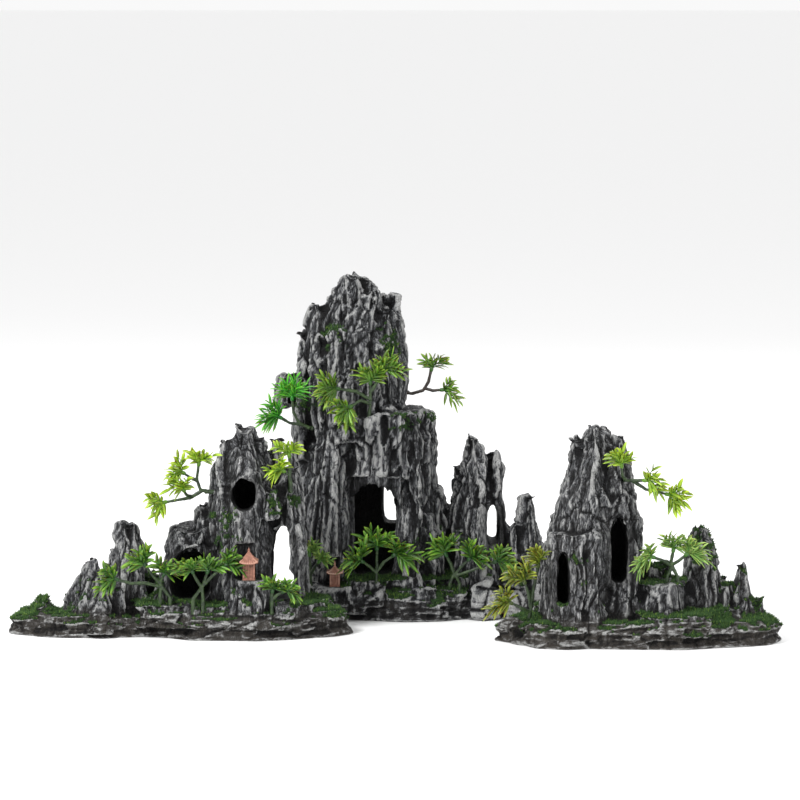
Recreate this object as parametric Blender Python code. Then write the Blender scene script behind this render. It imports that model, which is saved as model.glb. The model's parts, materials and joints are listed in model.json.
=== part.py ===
"""Aquarium rockwork: three free-standing resin castings with swim-through caves, two glued pavilions
and fourteen plastic plants that plug into sockets in the rock.

Metres, +Z up. The set stands on z = 0, and the middle of its footprint is the origin.
Rock masses are written in shares of their casting's length, depth and height; everything that is
plugged, glued or cut has its own size in metres.
"""

import random
from math import cos, sin, tau

import bmesh
import bpy
from mathutils import Matrix, Vector
from mathutils.bvhtree import BVHTree

# Overall sizes: length, depth and height of each casting, and where it stands.
LEFT_SIZE = Vector((0.315, 0.104, 0.193))
MAIN_SIZE = Vector((0.236, 0.114, 0.326))
RIGHT_SIZE = Vector((0.264, 0.114, 0.197))
LEFT_PLACE = Vector((-0.195, 0.000, 0.0))
MAIN_PLACE = Vector((0.019, (LEFT_SIZE.y + MAIN_SIZE.y) / 2 + 0.003, 0.0))
RIGHT_PLACE = Vector((0.214, -0.045, 0.0))

# Caves and windows: clear width and clear height.
ARCH_CAVE = (0.040, 0.052)
ROUND_HOLE = (0.025, 0.032)
ARCHWAY = (0.021, 0.068)
GREAT_CAVE = (0.042, 0.100)
BACK_WINDOW = (0.017, 0.050)
SLOT_WINDOW = (0.011, 0.036)
SLIT_CAVE = (0.016, 0.062)
SIDE_CAVE = (0.011, 0.050)

# Plants: the peg of every trunk is pushed into a socket, and every sprig onto a limb's tip.
PEG_RADIUS = 0.0016
PEG_LENGTH = 0.008
LEG_SPACING = 0.009
LIMB_RADIUS = 0.0011
TIP_LENGTH = 0.0030
FIT_GAP = 0.0003
HUB_WALL = 0.0010
LEAF_LENGTH = 0.017
LEAF_WIDTH = 0.0042
LEAF_THICKNESS = 0.0009
LEAF_LIFT = (0.75, 0.35)
LEAVES = 5
LEAF_TRIMS = 9
PULL_LENGTH = 0.020  # how far a plant is pulled off
PULL_STEPS = 8

# Pavilions: height over all and width of the eaves.
LEFT_PAVILION = (0.029, 0.0165)
MAIN_PAVILION = (0.024, 0.0150)

# Rock texture of the modelled masses.
RIDGE_DEPTH = 0.13
TOP_JAG = 0.035
KEPT_SHARE = 0.60
SEAM_MERGES = (0.0005, 0.0003, 0.0002, 0.0001)
SEAM_GAP = 0.00002
GRAFT_TWISTS = (0.0, 0.17, 0.31, 0.43, 0.57, 0.71, 0.83, 0.97, 1.09, 1.21, -0.13, -0.37, -0.61)
SOCKET_MOUTH = 0.012
COLLAR = 0.005
SEAT_MARGIN = 0.0015
SEAT_DEPTH = 0.002


def material(name, colour, roughness):
    """A plain Principled material."""
    made = bpy.data.materials.new(name)
    made.use_nodes = True
    shader = made.node_tree.nodes["Principled BSDF"]
    shader.inputs["Base Color"].default_value = (*colour, 1)
    shader.inputs["Roughness"].default_value = roughness
    shader.inputs["Metallic"].default_value = 0.0
    return made


def object_from(name, mesh, paint=None):
    """Turns a bmesh into a linked object with its normals facing out."""
    bmesh.ops.recalc_face_normals(mesh, faces=mesh.faces)
    data = bpy.data.meshes.new(name)
    mesh.to_mesh(data)
    mesh.free()
    made = bpy.data.objects.new(name, data)
    bpy.context.scene.collection.objects.link(made)
    if paint:
        data.materials.append(paint)
    return made


def skin(mesh, loops):
    """Bridges a list of equal vertex loops with triangles and closes both ends with a fan."""
    for low, high in zip(loops, loops[1:]):
        count = len(low)
        for j in range(count):
            after = (j + 1) % count
            mesh.faces.new((low[j], low[after], high[after]))
            mesh.faces.new((low[j], high[after], high[j]))
    for loop in (loops[0], loops[-1]):
        middle = mesh.verts.new(sum((v.co for v in loop), Vector()) / len(loop))
        for j, corner in enumerate(loop):
            mesh.faces.new((corner, loop[(j + 1) % len(loop)], middle))


def combine(target, helpers, operation):
    """Applies one Boolean of target with each helper in turn, and removes the helpers."""
    for helper in helpers:
        helper.hide_render = True
        cut = target.modifiers.new(operation.title(), "BOOLEAN")
        cut.operation = operation
        cut.solver = "EXACT"
        cut.object = helper
    bpy.context.view_layer.update()
    graph = bpy.context.evaluated_depsgraph_get()
    baked = bpy.data.meshes.new_from_object(target.evaluated_get(graph))
    target.modifiers.clear()
    target.data = baked
    for helper in helpers:
        bpy.data.objects.remove(helper)
    return target


def thin_out(target, share):
    """Keeps about a share of the triangles, which rounds off the coarsest steps of the rock."""
    thinner = target.modifiers.new("Thin", "DECIMATE")
    thinner.ratio = share
    bpy.context.view_layer.update()
    graph = bpy.context.evaluated_depsgraph_get()
    baked = bpy.data.meshes.new_from_object(target.evaluated_get(graph))
    target.modifiers.clear()
    target.data = baked


def is_closed(mesh):
    """Whether every edge of a bmesh has exactly two faces, and every corner is one fan."""
    return all(e.is_manifold for e in mesh.edges) and all(v.is_manifold for v in mesh.verts)


def merge_short_edges(target):
    """Merges the slivers along the seams of a union, as far as the body stays closed."""
    for distance in SEAM_MERGES:
        mesh = bmesh.new()
        mesh.from_mesh(target.data)
        bmesh.ops.remove_doubles(mesh, verts=mesh.verts, dist=distance)
        bmesh.ops.dissolve_degenerate(mesh, edges=mesh.edges, dist=1e-5)
        bmesh.ops.triangulate(mesh, faces=mesh.faces)
        closed = is_closed(mesh)
        if closed:
            mesh.to_mesh(target.data)
        mesh.free()
        if closed:
            return


class Casting:
    """One resin casting: rock masses joined into one solid, then hollowed and drilled."""

    def __init__(self, name, size, place, paint):
        self.name = name
        self.size = size
        self.place = place
        self.paint = paint
        self.masses = []
        self.voids = []
        self.solid = None

    def point(self, share):
        """A point given in shares of the casting's size, in the set's frame."""
        return self.place + Vector(a * b for a, b in zip(share, self.size))

    def crag(self, foot, head, foot_radius, head_radius, bulge=1.0, sides=10, rings=4, jag=TOP_JAG):
        """Adds a leaning, ridged column. Its radius runs from foot to head as t ** bulge, so a
        bulge over 1 keeps it full low down and rounds it near the top."""
        rng = random.Random(f"{self.name} crag {len(self.masses)}")
        ridges = [1 + rng.uniform(-RIDGE_DEPTH, RIDGE_DEPTH) for _ in range(sides)]
        start, end = Vector(foot), Vector(head)
        mesh = bmesh.new()
        loops = []
        for k in range(rings + 1):
            t = k / rings
            centre = start.lerp(end, t)
            radius = [a + (b - a) * t**bulge for a, b in zip(foot_radius, head_radius)]
            loop = []
            for j in range(sides):
                angle = tau * (j + 0.35 * sin(3 * t)) / sides
                spread = ridges[j] * (1 + rng.uniform(-RIDGE_DEPTH, RIDGE_DEPTH) / 2)
                rise = -rng.uniform(0, 2 * jag) * t**3
                share = centre + Vector(
                    (radius[0] * cos(angle) * spread, radius[1] * sin(angle) * spread, rise)
                )
                loop.append(mesh.verts.new(self.point(share)))
            loops.append(loop)
        skin(mesh, loops)
        self.masses.append(object_from(f"{self.name}_mass_{len(self.masses)}", mesh))

    def slab(self, centre, radius, top, layers=3, sides=20):
        """Adds a flat-topped bed of rock whose rim steps in and out like strata. It stands on the
        floor, so all slabs of a casting together are its flat foot."""
        rng = random.Random(f"{self.name} slab {len(self.masses)}")
        outline = [1 - rng.uniform(0, RIDGE_DEPTH) for _ in range(sides)]
        mesh = bmesh.new()
        loops = []
        for k in range(layers + 1):
            t = k / layers
            step = 1 - 0.07 * t - 0.05 * (k % 2)
            loop = []
            for j in range(sides):
                angle = tau * j / sides
                reach = outline[j] * step * (1 + rng.uniform(-0.03, 0.03))
                rise = t * top * (1 + rng.uniform(-0.08, 0.08))
                across = centre[0] + radius[0] * cos(angle) * reach
                inwards = centre[1] + radius[1] * sin(angle) * reach
                share = Vector((across, inwards, rise))
                loop.append(mesh.verts.new(self.point(share)))
            loops.append(loop)
        skin(mesh, loops)
        self.masses.append(object_from(f"{self.name}_mass_{len(self.masses)}", mesh))

    def tunnel(self, foot, opening, front, back, narrowing=1.0, arched=True, sides=12):
        """Hollows a passage along Y from front to back, in shares of the depth. foot is the share
        (x, z) of the middle of its sill. An arched one has a flat sill, and a plain one is oval."""
        width, height = opening
        rng = random.Random(f"{self.name} void {len(self.voids)}")
        sill = self.point((foot[0], 0, foot[1]))
        mesh = bmesh.new()
        loops = []
        steps = 4
        for k in range(steps + 1):
            t = k / steps
            scale = 1 + (narrowing - 1) * t
            depth = self.point((0, front + (back - front) * t, 0)).y
            loop = []
            for j in range(sides):
                angle = tau * (j + 0.5) / sides
                reach = 1 + rng.uniform(-0.05, 0.05)
                x = width / 2 * cos(angle) * reach * scale
                z = height / 2 * (1 + sin(angle) * reach) * scale
                if arched and sin(angle) < 0:
                    x = width / 2 * (1 if cos(angle) > 0 else -1) * abs(cos(angle)) ** 0.45 * scale
                    z = height / 2 * (1 - abs(sin(angle)) ** 0.45) * scale
                loop.append(mesh.verts.new((sill.x + x, depth, sill.z + z)))
            loops.append(loop)
        skin(mesh, loops)
        self.voids.append(object_from(f"{self.name}_void_{len(self.voids)}", mesh))

    def chamber(self, centre, radius):
        """Hollows an oval room inside the rock. centre is in shares, radius in metres."""
        mesh = bmesh.new()
        bmesh.ops.create_icosphere(mesh, subdivisions=2, radius=1)
        middle = self.point(centre)
        for vertex in mesh.verts:
            vertex.co = middle + Vector(a * b for a, b in zip(vertex.co, radius))
        self.voids.append(object_from(f"{self.name}_void_{len(self.voids)}", mesh))

    def cast(self):
        """Joins the masses and hollows them. Its result is the casting's own object."""
        self.solid = combine(self.masses[0], self.masses[1:], "UNION")
        self.solid = combine(self.solid, self.voids, "DIFFERENCE")
        thin_out(self.solid, KEPT_SHARE)
        self.solid.name = self.solid.data.name = self.name
        self.solid.data.materials.clear()
        self.solid.data.materials.append(self.paint)
        return self.solid

    def surface(self, share, direction):
        """Where a line from a point given in shares, along a direction, first meets the rock."""
        graph = bpy.context.evaluated_depsgraph_get()
        tree = BVHTree.FromObject(self.solid, graph)
        way = Vector(direction).normalized()
        hit = tree.ray_cast(self.point(share), way, max(self.size))[0]
        if hit is None:
            raise ValueError(f"{self.name} has no rock along {direction} through {share}")
        return hit

    def drill(self, cutters):
        """Cuts sockets and seats out of the finished casting."""
        combine(self.solid, cutters, "DIFFERENCE")


def tube(mesh, path, radii, sides, twist=0.0):
    """A closed tube along a path, with one radius for each point."""
    loops = []
    way = path[1] - path[0]
    turn = way.to_track_quat("Z", "Y")
    for i, point in enumerate(path):
        ahead = path[min(i + 1, len(path) - 1)] - path[max(i - 1, 0)]
        turn = way.rotation_difference(ahead) @ turn
        way = ahead
        loop = []
        for j in range(sides):
            angle = tau * j / sides + twist
            loop.append(mesh.verts.new(point + turn @ Vector((cos(angle), sin(angle), 0)) * radii[i]))
        loops.append(loop)
    skin(mesh, loops)


def peg_cutter(mouth, inward, depth):
    """A socket for one peg: from well outside the rock to the depth below its mouth."""
    way = inward.normalized()
    mesh = bmesh.new()
    ends = [mouth - way * SOCKET_MOUTH, mouth + way * (depth + FIT_GAP)]
    tube(mesh, ends, [PEG_RADIUS + FIT_GAP] * 2, 10)
    return object_from("socket", mesh)


def box_of(data):
    """The lowest and highest corner of a mesh."""
    corners = [v.co for v in data.vertices]
    low = Vector(min(c[k] for c in corners) for k in range(3))
    high = Vector(max(c[k] for c in corners) for k in range(3))
    return low, high


def graft(target, path, radii, sides):
    """Joins one more tube to a moulding. The tube is turned on its own axis a little further until
    the joined body is closed and reaches as far as both of them did."""
    kept = target.data
    for twist in GRAFT_TWISTS:
        mesh = bmesh.new()
        tube(mesh, path, radii, sides, twist)
        helper = object_from("graft", mesh)
        boxes = [box_of(kept), box_of(helper.data)]
        target.data = kept.copy()
        combine(target, [helper], "UNION")
        low, high = box_of(target.data)
        reaches = all(
            low[k] < box[0][k] + SEAM_GAP and high[k] > box[1][k] - SEAM_GAP
            for box in boxes
            for k in range(3)
        )
        check = bmesh.new()
        check.from_mesh(target.data)
        closed = is_closed(check)
        check.free()
        if reaches and closed:
            return
    raise ValueError(f"{target.name} can't be joined into one body")


def trunk(name, pegs, shins, limbs, paint):
    """One moulded trunk: straight pegs, shins that bring two pegs together, and tapering limbs."""
    mesh = bmesh.new()
    tube(mesh, pegs[0], [PEG_RADIUS] * 2, 7)
    made = object_from(name, mesh)
    for peg, shin in zip(pegs, shins):
        graft(made, shin, [PEG_RADIUS * 0.85] * 3, 5)
        if peg is not pegs[0]:
            graft(made, peg, [PEG_RADIUS] * 2, 7)
    for number, limb in enumerate(limbs):
        last = len(limb) - 1
        thick = PEG_RADIUS * (0.93 - 0.02 * number)
        radii = [thick + (LIMB_RADIUS - thick) * min(1, i / (last - 1)) for i in range(last + 1)]
        graft(made, limb, radii, 5)
    merge_short_edges(made)
    made.name = made.data.name = name
    made.data.materials.clear()
    made.data.materials.append(paint)
    made.data.shade_smooth()
    return made


def spray(tip, turn, reaches, grow=0.0):
    """The body of one push-on spray: a cup that fits over a limb's tip, with a leaf of each reach
    drawn out of its side. Also returns, for each face, which leaf it belongs to. grow thickens
    the leaves, to test that they clear their neighbours."""
    bore = LIMB_RADIUS + FIT_GAP
    outer = bore + HUB_WALL
    count = len(reaches)
    mesh = bmesh.new()
    owners = []

    def place(point):
        return mesh.verts.new(tip + turn @ Vector(point))

    def loop(radius, height):
        angles = [tau * (j + 0.5) / count for j in range(count)]
        return [place((radius * cos(a), radius * sin(a), height)) for a in angles]

    def band(first, second, owner=None):
        for j in range(len(first)):
            after = (j + 1) % len(first)
            mesh.faces.new((first[j], first[after], second[after], second[j]))
            owners.append(owner)

    roof = loop(bore, FIT_GAP)
    mouth = loop(bore, -TIP_LENGTH)
    foot = loop(outer, -TIP_LENGTH)
    low = loop(outer, -LEAF_THICKNESS / 2)
    high = loop(outer, LEAF_THICKNESS / 2)
    crown = loop(outer * 0.6, FIT_GAP + HUB_WALL)
    for cap in (roof, crown):
        mesh.faces.new(cap)
        owners.append(None)
    for first, second in ((roof, mouth), (mouth, foot), (foot, low), (high, crown)):
        band(first, second)
    for j, reach in enumerate(reaches):
        after = (j + 1) % count
        angle = tau * (j + 1) / count
        out = Vector((cos(angle), sin(angle), 0))
        across = Vector((-sin(angle), cos(angle), 0)) * (LEAF_WIDTH / 2 + grow)
        up = Vector((0, 0, LEAF_THICKNESS / 2 + grow))
        rise = Vector((0, 0, LEAF_LIFT[j % 2] * reach))
        middle = out * (outer + reach / 2) + rise / 2
        root = [low[j], low[after], high[after], high[j]]
        corners = (-across - up, across - up, across + up, -across + up)
        belly = [place(middle + corner) for corner in corners]
        point = place(out * (outer + reach + 2 * grow) + rise)
        band(root, belly, j)
        for k in range(4):
            mesh.faces.new((belly[k], belly[(k + 1) % 4], point))
            owners.append(j)
    return mesh, owners


def tree_of(data):
    """A search tree of a mesh, for finding what crosses what."""
    corners = [v.co for v in data.vertices]
    return BVHTree.FromPolygons(corners, [p.vertices for p in data.polygons])


def sprig(name, tip, direction, pull, paint):
    """Pushes one spray on a limb's tip. Leaves that would run into the rock, a pavilion, another
    plant or the floor are made shorter, both where they stand and as the plants are pulled off."""
    turn = direction.to_track_quat("Z", "Y")
    fixed, plants, own = [], [], []
    for other in (o for o in bpy.data.objects if o.type == "MESH"):
        grown = "_trunk" in other.name or "_sprig_" in other.name
        group = own if other.name.startswith(name.split("_sprig_")[0] + "_") else plants if grown else fixed
        group.append(tree_of(other.data))
    reaches = [LEAF_LENGTH * (1.0 if j % 2 else 0.85) for j in range(LEAVES)]
    for _ in range(LEAF_TRIMS):
        trial, owners = spray(tip, turn, reaches, grow=FIT_GAP)
        crossed = {owner for face, owner in zip(trial.faces, owners) if any(v.co.z < 0 for v in face.verts)}
        rest = [v.co.copy() for v in trial.verts]
        for step in range(-PULL_STEPS, PULL_STEPS + 1):
            for vertex, place in zip(trial.verts, rest):
                vertex.co = place + pull * (PULL_LENGTH * step / PULL_STEPS)
            near = plants + (own if step == 0 else []) + (fixed if step >= 0 else [])
            shape = BVHTree.FromBMesh(trial)
            crossed |= {owners[pair[0]] for other in near for pair in shape.overlap(other)}
        trial.free()
        crossed.discard(None)
        if not crossed:
            break
        reaches = [r * (0.8 if j in crossed else 1.0) for j, r in enumerate(reaches)]
    return object_from(name, spray(tip, turn, reaches)[0], paint)


def pavilion(name, seat, size, paint):
    """A small square pavilion in one moulding: plinth, body, flared roof and finial, as a stack of
    square rings. Each ring is (half width, height, lift of its corners) in shares of the whole."""
    height, eaves = size
    rings = (
        (0.40, 0.00, 0.0), (0.40, 0.07, 0.0), (0.31, 0.10, 0.0), (0.27, 0.14, 0.0), (0.25, 0.50, 0.0),
        (0.34, 0.53, 0.0), (0.50, 0.56, 0.05), (0.48, 0.60, 0.06), (0.26, 0.69, 0.0), (0.12, 0.80, 0.0),
        (0.05, 0.85, 0.0), (0.07, 0.90, 0.0), (0.015, 1.00, 0.0),
    )
    mesh = bmesh.new()
    loops = []
    for half, rise, lift in rings:
        loop = []
        for j in range(8):
            angle = tau * j / 8
            corner = j % 2
            reach = half * eaves * (2**0.5 if corner else 1)
            z = height * (rise + lift * corner)
            loop.append(mesh.verts.new(seat + Vector((reach * cos(angle), reach * sin(angle), z))))
        loops.append(loop)
    skin(mesh, loops)
    return object_from(name, mesh, paint)


def seat_cutter(centre, radius, height):
    """A round flat for a glued piece, cleared upwards as far as the piece is tall."""
    mesh = bmesh.new()
    tube(mesh, [centre, centre + Vector((0, 0, height))], [radius, radius], 16)
    return object_from("seat", mesh)


def set_pavilion(name, casting, share, size, paint):
    """Glues a pavilion on a flat cut into the rock under a point given in shares."""
    ground = casting.surface(share, (0, 0, -1)) - Vector((0, 0, SEAT_DEPTH))
    casting.drill([seat_cutter(ground, size[1] * 0.5 * 2**0.5 + SEAT_MARGIN, size[0] * 1.1)])
    return pavilion(name, ground + Vector((0, 0, FIT_GAP)), size, paint)


def plug_in(name, casting, share, inward, limbs, paints, legs=1):
    """Plugs one plant into the rock. inward is the way its pegs go in, and limbs are the points
    from the peg's mouth to each limb's tip, in metres. A plant with two legs stands astride."""
    way = Vector(inward).normalized()
    spread = Vector((LEG_SPACING / 2, 0, 0)) if legs == 2 else Vector()
    sides = (-1, 1) if legs == 2 else (0,)
    step = Vector((spread.x / casting.size.x, 0, 0))
    hits = [casting.surface(Vector(share) + side * step, way) for side in sides]
    depth = min(hit.dot(way * -1) for hit in hits)
    mouths = [hit + way * (hit.dot(way * -1) - depth) for hit in hits]
    root = sum(mouths, Vector()) / len(mouths)
    casting.drill([peg_cutter(mouth, way, PEG_LENGTH) for mouth in mouths])
    pegs = [(mouth + way * PEG_LENGTH, mouth - way * COLLAR) for mouth in mouths]
    paths = []
    for points in limbs:
        path = [root + Vector(p) for p in points]
        direction = (path[-1] - path[-2]).normalized()
        path.insert(-1, path[-1] - direction * (TIP_LENGTH + 0.0012))
        paths.append(path)
    joints = [paths[0][0].lerp(paths[0][1], share) for share in (0.35, 0.55)]
    shins = [
        [mouth - way * COLLAR * 0.5, mouth - way * COLLAR * 1.2, joint]
        for mouth, joint in zip(mouths, joints)
    ]
    trunk(f"{name}_trunk", pegs, shins * (legs - 1), paths, paints[0])
    for number, path in enumerate(paths, 1):
        sprig(f"{name}_sprig_{number}", path[-1], (path[-1] - path[-2]).normalized(), -way, paints[1])


def left_range(paint):
    """The low range: a string of small peaks, an arch cave, a holed mountain and an archway."""
    rock = Casting("left_range", LEFT_SIZE, LEFT_PLACE, paint)
    rock.slab((0.168, 0.0), (0.352, 0.50), 0.115, sides=22)
    rock.slab((-0.237, 0.02), (0.285, 0.38), 0.100)
    rock.crag(
        (0.13, 0.0, 0.05), (0.12, 0.0, 0.165), (0.33, 0.46), (0.30, 0.40), sides=16, rings=2, jag=0.006
    )
    rock.crag(
        (0.20, -0.24, 0.05), (0.21, -0.22, 0.29), (0.095, 0.24), (0.082, 0.20),
        sides=12, rings=2, jag=0.008,
    )
    # The foothills, from the left tip to the pillar.
    rock.crag((-0.41, 0.0, 0.03), (-0.409, 0.0, 0.19), (0.065, 0.24), (0.016, 0.06), sides=8, rings=3)
    rock.crag((-0.285, 0.0, 0.03), (-0.262, 0.0, 0.37), (0.085, 0.32), (0.018, 0.09))
    rock.crag((-0.245, 0.0, 0.05), (-0.257, 0.0, 0.385), (0.06, 0.28), (0.012, 0.06), sides=8, rings=3)
    rock.crag((-0.235, -0.24, 0.02), (-0.235, -0.10, 0.31), (0.055, 0.17), (0.02, 0.07), sides=8, rings=3)
    rock.crag((-0.20, 0.03, 0.05), (-0.208, 0.03, 0.415), (0.05, 0.22), (0.015, 0.07), sides=8, rings=3)
    rock.crag((-0.165, 0.05, 0.05), (-0.160, 0.05, 0.54), (0.070, 0.32), (0.026, 0.12), bulge=1.3)
    rock.crag((-0.09, 0.14, 0.05), (-0.09, 0.16, 0.29), (0.06, 0.24), (0.035, 0.14), sides=8, rings=3)
    # The arch and the holed mountain behind it.
    rock.crag(
        (0.012, 0.08, 0.05), (0.030, 0.08, 0.512), (0.112, 0.38), (0.056, 0.22), bulge=1.9, sides=12
    )
    rock.crag(
        (0.163, 0.06, 0.05), (0.175, 0.06, 1.0), (0.108, 0.41), (0.030, 0.11),
        bulge=3.0, sides=13, rings=6,
    )
    rock.crag((0.11, 0.04, 0.40), (0.123, 0.04, 0.925), (0.055, 0.24), (0.022, 0.09), bulge=1.5)
    rock.crag((0.21, 0.06, 0.40), (0.212, 0.07, 0.935), (0.052, 0.24), (0.022, 0.09), bulge=1.5)
    rock.crag(
        (0.068, 0.05, 0.28), (0.060, 0.05, 0.645), (0.064, 0.22), (0.022, 0.08),
        bulge=1.4, sides=8, rings=3,
    )
    rock.crag((0.235, -0.03, 0.55), (0.249, -0.03, 0.735), (0.045, 0.20), (0.020, 0.08), sides=8, rings=3)
    # The gate on the right, with its pinnacle and outer jamb.
    rock.crag(
        (0.297, 0.16, 0.05), (0.297, 0.16, 0.80), (0.062, 0.26), (0.036, 0.13),
        bulge=2.5, sides=11, rings=6,
    )
    rock.crag((0.262, 0.18, 0.50), (0.263, 0.20, 0.935), (0.034, 0.16), (0.019, 0.08), sides=8, rings=3)
    rock.crag((0.330, 0.02, 0.05), (0.325, 0.05, 0.56), (0.030, 0.17), (0.022, 0.12), sides=8, rings=3)
    rock.tunnel((0.020, 0.165), ARCH_CAVE, -0.60, 0.22, narrowing=0.8)
    rock.tunnel((0.1757, 0.59), ROUND_HOLE, -0.60, 0.18, narrowing=0.85, arched=False)
    rock.tunnel((0.283, 0.168), ARCHWAY, -0.65, 0.65, narrowing=0.9)
    rock.chamber((0.115, 0.06, 0.32), (0.023, 0.013, 0.022))
    rock.chamber((0.160, 0.06, 0.50), (0.012, 0.011, 0.030))
    rock.cast()
    return rock


def main_mountain(paint):
    """The tall mountain: two legs and a lintel round the great cave, a ridged summit, and the twin
    peaks with their slot window on the right."""
    rock = Casting("main_mountain", MAIN_SIZE, MAIN_PLACE, paint)
    rock.slab((-0.08, 0.0), (0.41, 0.50), 0.088, sides=24)
    rock.slab((0.29, 0.06), (0.21, 0.40), 0.078)
    rock.crag(
        (-0.14, 0.0, 0.04), (-0.14, 0.0, 0.122), (0.35, 0.46), (0.32, 0.43), sides=16, rings=2, jag=0.004
    )
    rock.crag(
        (-0.336, -0.36, 0.02), (-0.336, -0.36, 0.108), (0.14, 0.16), (0.125, 0.14),
        sides=12, rings=2, jag=0.004,
    )
    rock.crag(
        (0.06, -0.38, 0.004), (0.06, -0.36, 0.095), (0.065, 0.11), (0.030, 0.06),
        bulge=2.0, sides=8, rings=3,
    )
    rock.crag(
        (0.248, -0.34, 0.004), (0.250, -0.32, 0.135), (0.068, 0.12), (0.030, 0.06),
        bulge=2.0, sides=8, rings=3,
    )
    rock.crag(
        (0.32, 0.06, 0.03), (0.32, 0.08, 0.130), (0.16, 0.34), (0.12, 0.22), sides=11, rings=2, jag=0.01
    )
    # Legs, back wall and lintel of the great cave.
    rock.crag((-0.372, 0.0, 0.05), (-0.372, 0.0, 0.54), (0.105, 0.37), (0.092, 0.30), bulge=2.0, sides=13)
    rock.crag((-0.450, 0.08, 0.05), (-0.450, 0.08, 0.57), (0.060, 0.26), (0.048, 0.20), sides=10)
    rock.crag((-0.015, 0.0, 0.04), (-0.022, 0.0, 0.57), (0.110, 0.38), (0.072, 0.32), bulge=0.6, sides=12)
    rock.crag(
        (-0.170, 0.29, 0.05), (-0.170, 0.27, 0.52), (0.16, 0.14), (0.16, 0.13), sides=10, rings=3, jag=0.0
    )
    rock.crag(
        (-0.136, 0.0, 0.40), (-0.138, 0.0, 0.592), (0.175, 0.37), (0.190, 0.40),
        sides=16, rings=2, jag=0.008,
    )
    # The summit and its shoulders.
    rock.crag(
        (-0.270, 0.06, 0.50), (-0.256, 0.04, 1.0), (0.200, 0.38), (0.055, 0.13),
        bulge=3.0, sides=14, rings=6,
    )
    rock.crag(
        (-0.130, 0.06, 0.55), (-0.136, 0.05, 0.945), (0.078, 0.32), (0.045, 0.15), bulge=2.2, rings=6
    )
    rock.crag(
        (-0.370, 0.05, 0.50), (-0.400, 0.05, 0.918), (0.092, 0.30), (0.028, 0.10), bulge=2.0, rings=6
    )
    rock.crag((-0.440, 0.05, 0.45), (-0.455, 0.06, 0.838), (0.062, 0.24), (0.024, 0.10), bulge=2.0)
    rock.crag(
        (-0.528, 0.05, 0.600), (-0.530, 0.05, 0.695), (0.046, 0.14), (0.024, 0.08),
        sides=8, rings=2, jag=0.01,
    )
    rock.crag(
        (-0.300, -0.22, 0.56), (-0.290, -0.12, 0.80), (0.055, 0.14), (0.030, 0.08), sides=8, rings=3
    )
    rock.crag(
        (-0.200, -0.20, 0.60), (-0.190, -0.10, 0.88), (0.050, 0.14), (0.026, 0.08), sides=8, rings=3
    )
    # The twin peaks on the right.
    rock.crag((0.055, 0.05, 0.05), (0.065, 0.02, 0.385), (0.060, 0.30), (0.036, 0.13), sides=8, rings=3)
    rock.crag((0.120, 0.10, 0.05), (0.120, 0.10, 0.325), (0.085, 0.22), (0.050, 0.12), sides=8, rings=3)
    rock.crag(
        (0.240, 0.08, 0.05), (0.213, 0.08, 0.537), (0.128, 0.32), (0.030, 0.11),
        bulge=1.9, sides=12, rings=6,
    )
    rock.crag(
        (0.150, 0.08, 0.05), (0.152, 0.08, 0.440), (0.055, 0.22), (0.022, 0.09),
        bulge=1.5, sides=8, rings=3,
    )
    rock.crag(
        (0.298, 0.08, 0.05), (0.292, 0.08, 0.492), (0.066, 0.25), (0.026, 0.11), bulge=1.6, sides=10
    )
    rock.crag((0.365, 0.08, 0.04), (0.370, 0.08, 0.280), (0.065, 0.24), (0.030, 0.12), sides=8, rings=3)
    rock.crag(
        (0.430, 0.08, 0.04), (0.436, 0.08, 0.358), (0.068, 0.25), (0.024, 0.10), bulge=1.4, sides=10
    )
    rock.tunnel((-0.176, 0.118), GREAT_CAVE, -0.70, 0.20, narrowing=0.92)
    rock.tunnel((-0.112, 0.25), BACK_WINDOW, 0.0, 0.75)
    rock.tunnel((0.284, 0.205), SLOT_WINDOW, -0.70, 0.75)
    rock.cast()
    return rock


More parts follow.
